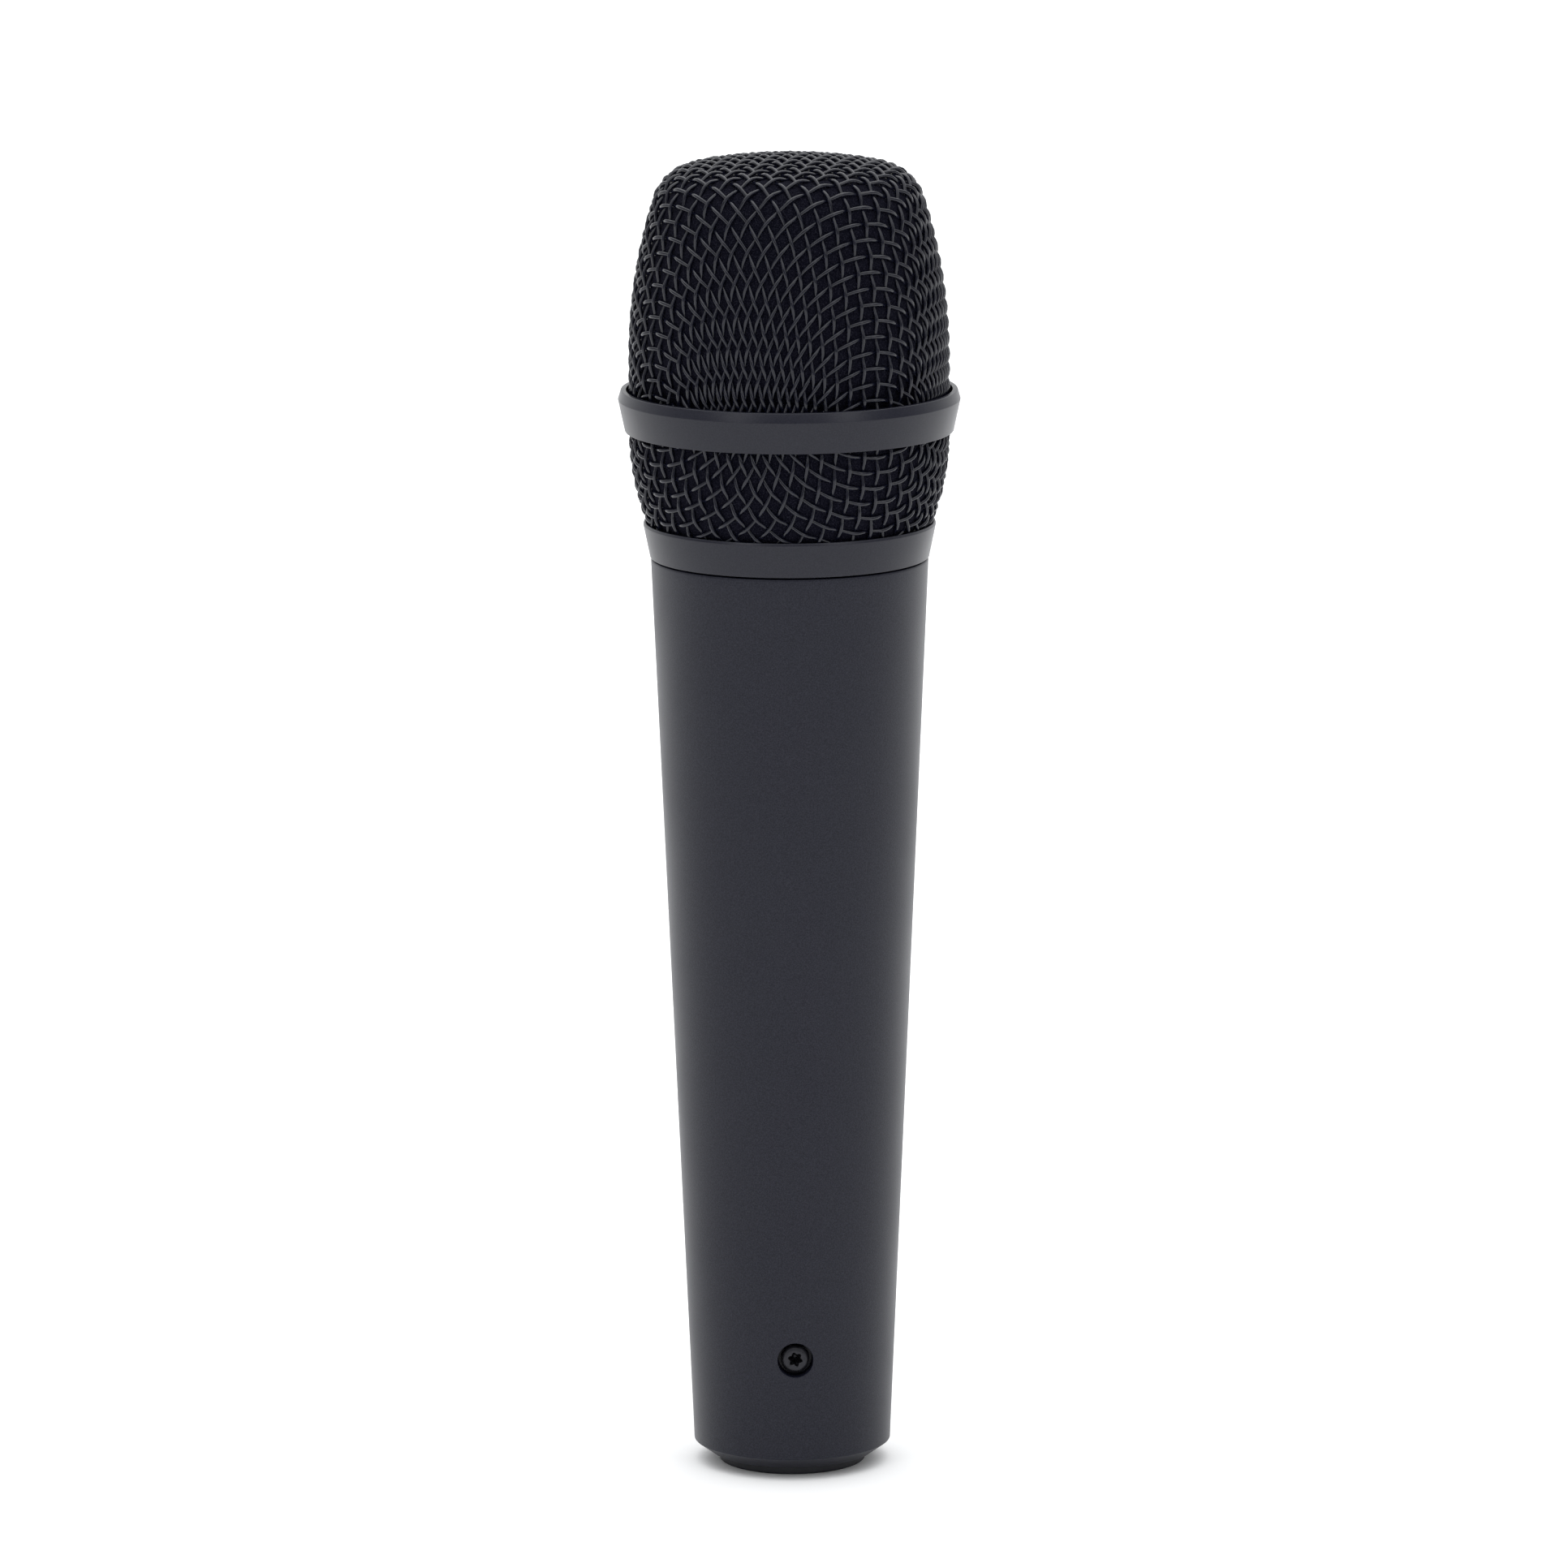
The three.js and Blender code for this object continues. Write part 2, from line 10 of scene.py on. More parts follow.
import bmesh
import bpy
import numpy as np
from mathutils import Matrix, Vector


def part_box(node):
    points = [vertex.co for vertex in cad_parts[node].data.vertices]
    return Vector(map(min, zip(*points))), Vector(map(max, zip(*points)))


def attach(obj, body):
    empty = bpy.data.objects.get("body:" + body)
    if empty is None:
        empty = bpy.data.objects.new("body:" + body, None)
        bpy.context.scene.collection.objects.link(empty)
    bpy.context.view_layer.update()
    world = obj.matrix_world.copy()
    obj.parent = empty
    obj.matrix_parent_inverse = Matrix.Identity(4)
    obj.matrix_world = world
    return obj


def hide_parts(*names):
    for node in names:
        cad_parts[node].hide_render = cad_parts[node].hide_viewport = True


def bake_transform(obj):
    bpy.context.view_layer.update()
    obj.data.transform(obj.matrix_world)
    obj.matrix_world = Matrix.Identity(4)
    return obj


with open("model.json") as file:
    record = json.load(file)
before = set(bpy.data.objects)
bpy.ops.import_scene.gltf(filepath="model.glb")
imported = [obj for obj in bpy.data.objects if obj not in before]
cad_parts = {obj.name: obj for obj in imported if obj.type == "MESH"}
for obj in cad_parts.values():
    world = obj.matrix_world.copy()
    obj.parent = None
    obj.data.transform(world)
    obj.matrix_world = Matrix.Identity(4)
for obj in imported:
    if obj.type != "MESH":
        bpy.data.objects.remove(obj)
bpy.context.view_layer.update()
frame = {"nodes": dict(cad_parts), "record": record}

MM = 0.001


# ---- sizes taken from the frame -------------------------------------------------------------------
def low(node):
    """A CAD node's lowest height in millimetres."""
    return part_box(node)[0].z / MM


def high(node):
    """A CAD node's highest height in millimetres."""
    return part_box(node)[1].z / MM


def radius(node):
    """The outer radius of a turned CAD node in millimetres."""
    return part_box(node)[1].x / MM


BASE = low("handle_body")
NECK_TOP = high("handle_body")
HANDLE_RADIUS = radius("handle_body")
COLLAR_BOTTOM = low("grille_collar")
RING_BOTTOM = low("grille_ring")
RING_TOP = high("grille_ring")
RING_RADIUS = radius("grille_ring")
MESH_RADIUS = radius("grille_mesh_upper")
APEX = high("grille_mesh_upper")
BOWL_BOTTOM = low("grille_mesh_lower")
OUTLET_RADIUS = radius("xlr_housing")
SCREW_HEIGHT = (low("xlr_screw") + high("xlr_screw")) / 2

# ---- driving dimensions, in millimetres -------------------------------------------------------------
SMOOTH = 192                    # columns round an outer turned piece
FINE = 96                       # columns round a small turned piece
SHOULDER = 130.2                # top of the handle's paint, under the collar
FOOT_EDGE = 3.05                # top of the chamfer at the foot
FOOT_RADIUS = 11.5
EDGE_RADIUS = 13.95
RECESS_RADIUS = 2.5             # round the retaining screw
RECESS_FLOOR = 12.2             # distance from the axis
WINDOW = 3.6                    # half the height of the finer mesh round the recess
THREAD_PITCH = 1.5
THREAD_ROOT = 15.9
THREAD_CREST = 16.8
THREAD_START = 131.3
THREAD_TURNS = 3.5
WIRE = 0.55                     # grille wire diameter

# Settings of the wire cloth: pitch between wires; turn of the weave about Z, in degrees; shift of the weave
# in steps of the pitch; stiffness in bending and in shear; the least angle between crossing wires, in
# degrees; the pull that draws the cloth down the cup; and the size of the net, in wires from its middle.
UPPER_CLOTH = dict(pitch=2.29, turn=-59.7, shift=(0.61, 0.22), bend=0.24,
                   shear=0.011, lock=15.5, pull=0.004, half_width=26)
LOWER_CLOTH = dict(pitch=2.3, turn=-59.2, shift=(-0.24, 0.12), bend=0.2,
                   shear=0.005, lock=23.3, pull=0.0037, half_width=24)

PAPER_WHITE = (0.92, 0.92, 0.92, 1.0)
DAYLIGHT = (0.98, 0.99, 1.0, 1.0)
FRONT = -math.pi / 2            # the angle of -Y, where a turned piece's columns begin


# ---- mesh helpers ---------------------------------------------------------------------------------
def make_piece(name, points, faces, body, replaces=(), slot=None, sharp=35):
    """A smooth-shaded mesh piece from points in millimetres, riding on a CAD body."""
    mesh = bpy.data.meshes.new(name)
    mesh.from_pydata((np.asarray(points, float) * MM).tolist(), [], [list(f) for f in faces])
    mesh.validate()
    mesh.shade_smooth()
    mesh.set_sharp_from_angle(angle=math.radians(sharp))
    piece = bpy.data.objects.new(name, mesh)
    bpy.context.scene.collection.objects.link(piece)
    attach(piece, body)
    if replaces:
        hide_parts(*replaces)
    return piece


def arc(centre, reach, start, end, steps):
    """Points of an arc about a centre, from one angle to the other, in degrees."""
    angles = np.radians(np.linspace(start, end, steps + 1))
    return [(centre[0] + reach * math.cos(a), centre[1] + reach * math.sin(a)) for a in angles]


def softened(corners, steps=5):
    """An outline from (radius, height, rounding) corners, each rounded by its own fillet."""
    outline = []
    count = len(corners)
    for i, (r, z, rounding) in enumerate(corners):
        here = np.array((r, z))
        if not rounding:
            outline.append((r, z))
            continue
        back = np.array(corners[i - 1][:2]) - here
        ahead = np.array(corners[(i + 1) % count][:2]) - here
        back_length, ahead_length = np.linalg.norm(back), np.linalg.norm(ahead)
        back, ahead = back / back_length, ahead / ahead_length
        half = math.acos(np.clip(np.dot(back, ahead), -1, 1)) / 2
        reach = min(rounding / math.tan(half), 0.49 * back_length, 0.49 * ahead_length)
        for t in np.linspace(0, 1, steps + 1):
            a = here + back * reach
            b = here + ahead * reach
            outline.append(tuple((1 - t) ** 2 * a + 2 * t * (1 - t) * here + t ** 2 * b))
    return outline


def ring_outline(inner, outer, bottom, top, rounding):
    """The section of a plain ring, with its four edges rounded alike."""
    return softened([(inner, bottom, rounding), (outer, bottom, rounding), (outer, top, rounding),
                     (inner, top, rounding)])


def grid_faces(rows, columns, wrap=True, flip=False):
    """Quads of a grid of points stored row by row."""
    across = columns if wrap else columns - 1
    faces = []
    for i in range(rows - 1):
        for j in range(across):
            k = (j + 1) % columns
            quad = (i * columns + j, i * columns + k, (i + 1) * columns + k, (i + 1) * columns + j)
            faces.append(quad[::-1] if flip else quad)
    return faces


def turned(name, outline, body, columns=SMOOTH, reshape=None, **options):
    """A closed body of revolution. The outline runs counter-clockwise in (radius, height), so that faces
    point out. reshape(radius, angle, height) may change each point's radius."""
    outline = np.array(outline, float)
    angles = np.linspace(0, 2 * math.pi, columns, endpoint=False) + FRONT
    r = np.repeat(outline[:, :1], columns, axis=1)
    z = np.repeat(outline[:, 1:], columns, axis=1)
    a = np.broadcast_to(angles, r.shape)
    if reshape is not None:
        r = reshape(r, a, z)
    points = np.stack([r * np.cos(a), r * np.sin(a), z], axis=-1).reshape(-1, 3)
    rows = len(outline)
    faces = grid_faces(rows, columns)
    faces += [
        ((rows - 1) * columns + j, (rows - 1) * columns + (j + 1) % columns, (j + 1) % columns, j)
        for j in range(columns)
    ]
    piece = make_piece(name, points, faces, body, **options)
    weld(piece)
    return piece


def weld(piece, distance=1e-7):
    """Merges points that meet, as on the axis of a turned piece."""
    work = bmesh.new()
    work.from_mesh(piece.data)
    bmesh.ops.remove_doubles(work, verts=work.verts, dist=distance)
    bmesh.ops.dissolve_degenerate(work, edges=work.edges, dist=distance)
    work.to_mesh(piece.data)
    work.free()


# ---- camera, floor and light ------------------------------------------------------------------------
def add_camera():
    """Looks down a little from the front, far off with a long lens. Lengths are in metres."""
    distance, sideways, height = 1.3923, -0.0009, 0.3613
    pitch, roll, swing = math.radians(10.72), -0.003, math.radians(-1.9)
    data = bpy.data.cameras.new("camera")
    data.lens = 230.7
    data.sensor_width = 36
    data.clip_end = 50
    camera = bpy.data.objects.new("camera", data)
    bpy.context.scene.collection.objects.link(camera)
    turn = Matrix.Rotation(swing, 4, "Z")
    place = Matrix.Translation((sideways, -distance, height))
    aim = Matrix.Rotation(math.pi / 2 - pitch, 4, "X") @ Matrix.Rotation(roll, 4, "Z")
    camera.matrix_world = turn @ place @ aim
    bpy.context.scene.camera = camera


def add_floor():
    """A plain sheet of pale paper, 12 m square."""
    half = 6.0
    corners = [(-half, -half, 0), (half, -half, 0), (half, half, 0), (-half, half, 0)]
    mesh = bpy.data.meshes.new("floor")
    mesh.from_pydata(corners, [], [(0, 1, 2, 3)])
    floor = bpy.data.objects.new("floor", mesh)
    bpy.context.scene.collection.objects.link(floor)
    material = bpy.data.materials.new("paper")
    material.use_nodes = True
    shader = material.node_tree.nodes["Principled BSDF"]
    shader.inputs["Base Color"].default_value = PAPER_WHITE
    shader.inputs["Roughness"].default_value = 0.9
    floor.data.materials.append(material)


def add_area(name, place, target, size, power):
    """A rectangular light at a place, facing a target, in metres and watts."""
    data = bpy.data.lights.new(name, "AREA")
    data.shape = "RECTANGLE"
    data.size, data.size_y = size
    data.energy = power
    light = bpy.data.objects.new(name, data)
    bpy.context.scene.collection.objects.link(light)
    place = np.array(place, float)
    away = place - np.array(target, float)
    away /= np.linalg.norm(away)
    side = np.cross((0, 0, 1), away)
    side /= np.linalg.norm(side)
    up = np.cross(away, side)
    light.matrix_world = Matrix([
        (side[0], up[0], away[0], place[0]),
        (side[1], up[1], away[1], place[1]),
        (side[2], up[2], away[2], place[2]),
        (0, 0, 0, 1),
    ])


def map_range(nodes, links, value, source, result, interpolation="LINEAR"):
    """A value carried from one (low, high) range to another."""
    node = nodes.new("ShaderNodeMapRange")
    node.interpolation_type = interpolation
    for side, ends in (("From", source), ("To", result)):
        node.inputs[f"{side} Min"].default_value, node.inputs[f"{side} Max"].default_value = ends
    links.new(value, node.inputs["Value"])
    return node.outputs["Result"]


def add_world():
    """A white room whose light grows towards the back and, more strongly, overhead. It is dim in front."""
    world = bpy.data.worlds.new("studio")
    world.use_nodes = True
    nodes, links = world.node_tree.nodes, world.node_tree.links
    direction = nodes.new("ShaderNodeTexCoord").outputs["Generated"]
    split = nodes.new("ShaderNodeSeparateXYZ")
    links.new(direction, split.inputs["Vector"])
    brighter = nodes.new("ShaderNodeMath")
    brighter.operation = "MAXIMUM"
    for socket, (axis, reach, strength) in enumerate((("Y", (-0.3, 0.9), (0.4, 1.1)),
                                                      ("Z", (0.4, 0.9), (0.4, 2.0)))):
        glow = map_range(nodes, links, split.outputs[axis], reach, strength, "SMOOTHSTEP")
        links.new(glow, brighter.inputs[socket])
    nodes["Background"].inputs["Color"].default_value = DAYLIGHT
    links.new(brighter.outputs["Value"], nodes["Background"].inputs["Strength"])
    bpy.context.scene.world = world


def add_lights():
    """Two panels in front, left and right, and a softbox above the floor behind."""
    for side, name in ((-1, "left_panel"), (1, "right_panel")):
        add_area(name, (side * 1.0, -1.2, 0.95), (0, 0, 0.15), (0.5, 0.6), 2.2)
    add_area("back_softbox", (0.0, 0.9, 1.7), (0, 0.8, 0.0), (2.6, 1.8), 8)
    bpy.context.scene.view_settings.view_transform = "Standard"


# ---- materials --------------------------------------------------------------------------------------
class Finish:
    """A node material under construction: a Principled shader and the texture nodes that feed it."""

    def __init__(self, name, color, roughness, metallic=0.0, **sockets):
        self.material = bpy.data.materials.new(name)
        self.material.use_nodes = True
        self.nodes = self.material.node_tree.nodes
        self.links = self.material.node_tree.links
        self.shader = self.nodes["Principled BSDF"]
        self.shader.inputs["Base Color"].default_value = (*color, 1)
        self.shader.inputs["Roughness"].default_value = roughness
        self.shader.inputs["Metallic"].default_value = metallic
        for socket, value in sockets.items():
            self.shader.inputs[socket.replace("_", " ")].default_value = value
        self.place = self.nodes.new("ShaderNodeTexCoord").outputs["Object"]
        self.normal = None

    def noise(self, per_metre, detail=3.0, roughness=0.5, stretch=(1, 1, 1)):
        """A noise field's value, with features of about 1 / per_metre."""
        mapping = self.nodes.new("ShaderNodeMapping")
        mapping.inputs["Scale"].default_value = stretch
        self.links.new(self.place, mapping.inputs["Vector"])
        noise = self.nodes.new("ShaderNodeTexNoise")
        noise.inputs["Scale"].default_value = per_metre
        noise.inputs["Detail"].default_value = detail
        noise.inputs["Roughness"].default_value = roughness
        self.links.new(mapping.outputs["Vector"], noise.inputs["Vector"])
        return noise.outputs["Fac"]

    def cells(self, per_metre):
        """Distance to the nearest of scattered points."""
        cells = self.nodes.new("ShaderNodeTexVoronoi")
        cells.inputs["Scale"].default_value = per_metre
        self.links.new(self.place, cells.inputs["Vector"])
        return cells.outputs["Distance"]

    def remap(self, value, source, result=(0, 1)):
        """A texture's value carried from one (low, high) range to another."""
        return map_range(self.nodes, self.links, value, source, result)

    def tint(self, value, first, second):
        """Base colour from first, where value is 0, to second, where it is 1."""
        factor, color_a, color_b, color_out = 0, 6, 7, 2
        node = self.nodes.new("ShaderNodeMix")
        node.data_type = "RGBA"
        node.inputs[color_a].default_value = (*first, 1)
        node.inputs[color_b].default_value = (*second, 1)
        self.links.new(value, node.inputs[factor])
        self.links.new(node.outputs[color_out], self.shader.inputs["Base Color"])

    def polish(self, value, smoothest, roughest):
        """Roughness between two values, following a texture around its middle."""
        self.links.new(self.remap(value, (0.3, 0.7), (smoothest, roughest)), self.shader.inputs["Roughness"])

    def bump(self, value, depth, strength=1.0):
        """Adds relief of a depth in metres."""
        node = self.nodes.new("ShaderNodeBump")
        node.inputs["Strength"].default_value = strength
        node.inputs["Distance"].default_value = depth
        self.links.new(value, node.inputs["Height"])
        if self.normal is not None:
            self.links.new(self.normal, node.inputs["Normal"])
        self.normal = node.outputs["Normal"]
        self.links.new(self.normal, self.shader.inputs["Normal"])
        return self


def satin_paint():
    """Fine-grained satin black paint on metal."""
    finish = Finish("satin_black_paint", (0.006, 0.006, 0.008), 0.4, Specular_IOR_Level=0.27)
    grain = finish.noise(5200, detail=3, roughness=0.6)
    cloud = finish.noise(60, detail=2)
    finish.tint(finish.remap(grain, (0.35, 0.65)), (0.001, 0.0014, 0.0075), (0.0115, 0.0122, 0.0215))
    finish.polish(cloud, 0.36, 0.42)
    return finish.bump(grain, 0.00002, 0.5).material


def anodised_trim():
    """Smooth black trim of the ring and the collar."""
    finish = Finish("black_trim", (0.014, 0.014, 0.017), 0.33, Specular_IOR_Level=0.32)
    grain = finish.noise(5200, detail=3, roughness=0.6)
    cloud = finish.noise(90, detail=2)
    finish.tint(finish.remap(grain, (0.35, 0.65)), (0.004, 0.0043, 0.011), (0.010, 0.0105, 0.0185))
    finish.polish(cloud, 0.30, 0.37)
    return finish.bump(grain, 0.000012, 0.4).material


def coated_wire():
    """Steel wire under a glossy black dip coat."""
    finish = Finish("black_wire", (0.012, 0.012, 0.015), 0.3, Specular_IOR_Level=0.38)
    grain = finish.noise(1800, detail=3)
    finish.tint(finish.remap(grain, (0.3, 0.7)), (0.002, 0.0024, 0.0075), (0.007, 0.0074, 0.0145))
    finish.polish(grain, 0.13, 0.22)
    return finish.bump(grain, 0.00003, 0.4).material


def open_foam():
    """Black open-cell foam."""
    finish = Finish("black_foam", (0.003, 0.003, 0.006), 0.95, Specular_IOR_Level=0.08)
    pores = finish.cells(2600)
    flecks = finish.noise(6500, detail=2)
    finish.tint(finish.remap(flecks, (0.5, 0.75)), (0.0022, 0.0022, 0.0064), (0.019, 0.019, 0.029))
    finish.bump(pores, 0.0002, 1.0)
    return finish.bump(flecks, 0.00008, 0.6).material


def black_rubber():
    """Matt moulded rubber."""
    finish = Finish("black_rubber", (0.012, 0.012, 0.012), 0.7)
    grain = finish.noise(1500, detail=4)
    finish.tint(grain, (0.008, 0.008, 0.008), (0.02, 0.02, 0.02))
    finish.polish(grain, 0.6, 0.8)
    return finish.bump(grain, 0.00003, 0.5).material


def moulded_plastic(name, dark, light):
    """Moulded plastic with a fine spark-eroded grain."""
    finish = Finish(name, dark, 0.5)
    grain = finish.noise(2200, detail=4)
    finish.tint(grain, dark, light)
    finish.polish(grain, 0.45, 0.6)
    return finish.bump(grain, 0.00002, 0.5).material


def plated_metal(name, dark, light, smoothest, roughest, stretch=(1, 1, 1)):
    """Plated or bare metal with fine machining marks, drawn out along one axis by stretch."""
    finish = Finish(name, light, smoothest, metallic=1.0)
    marks = finish.noise(1400, detail=5, roughness=0.65, stretch=stretch)
    finish.tint(marks, dark, light)
    finish.polish(marks, smoothest, roughest)
    return finish.bump(marks, 0.000012, 0.4).material


def blackened_steel():
    """Screw steel with a black oxide coat, worn thin in places."""
    finish = Finish("blackened_steel", (0.015, 0.015, 0.017), 0.35, metallic=0.6)
    marks = finish.noise(1600, detail=4)
    finish.tint(marks, (0.009, 0.009, 0.012), (0.034, 0.034, 0.041))
    finish.polish(marks, 0.28, 0.45)
    return finish.bump(marks, 0.00002, 0.5).material


def fibrous(name, dark, light):
    """Felt: short crossed fibres."""
    finish = Finish(name, light, 0.95)
    fibres = finish.noise(2600, detail=6, roughness=0.8)
    finish.tint(fibres, dark, light)
    return finish.bump(fibres, 0.0002, 0.8).material


def wound_copper():
    """Enamelled copper in close turns."""
    finish = Finish("enamelled_copper", (0.45, 0.15, 0.05), 0.3, metallic=1.0)
    wave = finish.nodes.new("ShaderNodeTexWave")
    wave.bands_direction = "Z"
    wave.inputs["Scale"].default_value = 1200
    finish.links.new(finish.place, wave.inputs["Vector"])
    # Painted shade: the tint follows the winding's bump, darker in the grooves between the turns and lighter
    # on their crests.
    finish.tint(wave.outputs["Fac"], (0.25, 0.07, 0.02), (0.62, 0.24, 0.09))
    finish.polish(finish.noise(900), 0.25, 0.4)
    return finish.bump(wave.outputs["Fac"], 0.00005, 0.8).material


def stretched_film():
    """The diaphragm's pale polyester film."""
    finish = Finish("clear_film", (0.55, 0.5, 0.36), 0.25)
    haze = finish.noise(500, detail=3)
    finish.tint(haze, (0.48, 0.43, 0.3), (0.62, 0.57, 0.42))
    finish.polish(haze, 0.2, 0.32)
    return finish.bump(haze, 0.00001, 0.4).material


# ---- the draped wire cloth ----------------------------------------------------------------------------
def crossing(a, a_reach, b, b_reach):
    """Where two circles cross, on the side with the larger radius coordinate."""
    a, b = np.array(a, float), np.array(b, float)
    apart = np.linalg.norm(b - a)
    along = (a_reach ** 2 - b_reach ** 2 + apart ** 2) / (2 * apart)
    across = math.sqrt(a_reach ** 2 - along ** 2)
    unit = (b - a) / apart
    foot = a + unit * along
    side = np.array((-unit[1], unit[0])) * across
    return max(foot + side, foot - side, key=lambda p: p[0])


class Profile:
    """A cup's outline from its pole outwards, looked up by the distance along it."""

    def __init__(self, outline, samples=1200):
        outline = np.array(outline, float)
        lengths = np.hypot(*np.diff(outline, axis=0).T)
        travelled = np.concatenate([[0], np.cumsum(lengths)])
        self.along = np.linspace(0, travelled[-1], samples)
        r = np.interp(self.along, travelled, outline[:, 0])
        z = np.interp(self.along, travelled, outline[:, 1])
        self.points = np.stack([r, z], axis=1)
        slopes = np.gradient(self.points, self.along, axis=0)
        self.slopes = slopes / np.linalg.norm(slopes, axis=1)[:, None]

    def at(self, s):
        """Radius, height and unit slope at distances along the outline."""
        r = np.interp(s, self.along, self.points[:, 0])
        z = np.interp(s, self.along, self.points[:, 1])
        slope_r = np.interp(s, self.along, self.slopes[:, 0])
        slope_z = np.interp(s, self.along, self.slopes[:, 1])
        return r, z, slope_r, slope_z


def cup_outline(inset):
    """The upper cup, from its pole down over the shoulder: dome, shoulder, bowed side, straight foot."""
    dome, side, shoulder = 75.0, 73.7, 6.0
    side_start, foot = 158.5, 130.0
    edge = MESH_RADIUS - inset
    dome_centre = (0, APEX - inset - dome)
    side_centre = (edge - side, side_start)
    turn = crossing(dome_centre, dome - shoulder, side_centre, side - shoulder)
    dome_end = math.degrees(math.atan2(turn[1] - dome_centre[1], turn[0] - dome_centre[0]))
    side_end = math.degrees(math.atan2(turn[1] - side_centre[1], turn[0] - side_centre[0]))
    return (
        arc(dome_centre, dome, 90, dome_end, 60)
        + arc(turn, shoulder, dome_end, side_end, 40)[1:]
        + arc(side_centre, side, side_end, 0, 60)[1:]
        + [(edge, foot)]
    )


def bowl_outline(inset, lowest_radius=None):
    """The lower bowl's wall: bowed in towards the collar, and carried on straight above the ring. It starts
    just below the bowl's foot, or at a radius if one is given."""
    reach, straight_from, lowest, rise = 34.6, 148.0, BOWL_BOTTOM - 1, 175.0
    edge = MESH_RADIUS - inset
    centre = (edge - reach, straight_from)
    start = -math.asin((straight_from - lowest) / reach)
    if lowest_radius is not None:
        start = -math.acos((lowest_radius - centre[0]) / reach)
    return arc(centre, reach, math.degrees(start), 0, 80) + [(edge, rise)]


def die_outline(inset):
    """The flat-bottomed cup that the bowl was pressed in before its floor was cut away, from the pole out."""
    floor_radius, drop, corner = 20.5, 1.5, 2.5
    wall = bowl_outline(inset, lowest_radius=floor_radius)
    floor = wall[0][1] - drop
    return [(0, floor), (floor_radius - corner, floor)] + wall


def gather(force, who, push):
    """Adds each push to the force on the crossing that it acts on."""
    for axis in range(3):
        force[:, axis] += np.bincount(who, push[:, axis], len(force))


def pull_together(force, who, points, tension):
    """Pulls the two crossings of each pair together by the tension at their distance."""
    span = points[who[:, 1]] - points[who[:, 0]]
    length = np.linalg.norm(span, axis=1) + 1e-9
    push = (tension(length) / length)[:, None] * span
    gather(force, who[:, 0], push)
    gather(force, who[:, 1], -push)


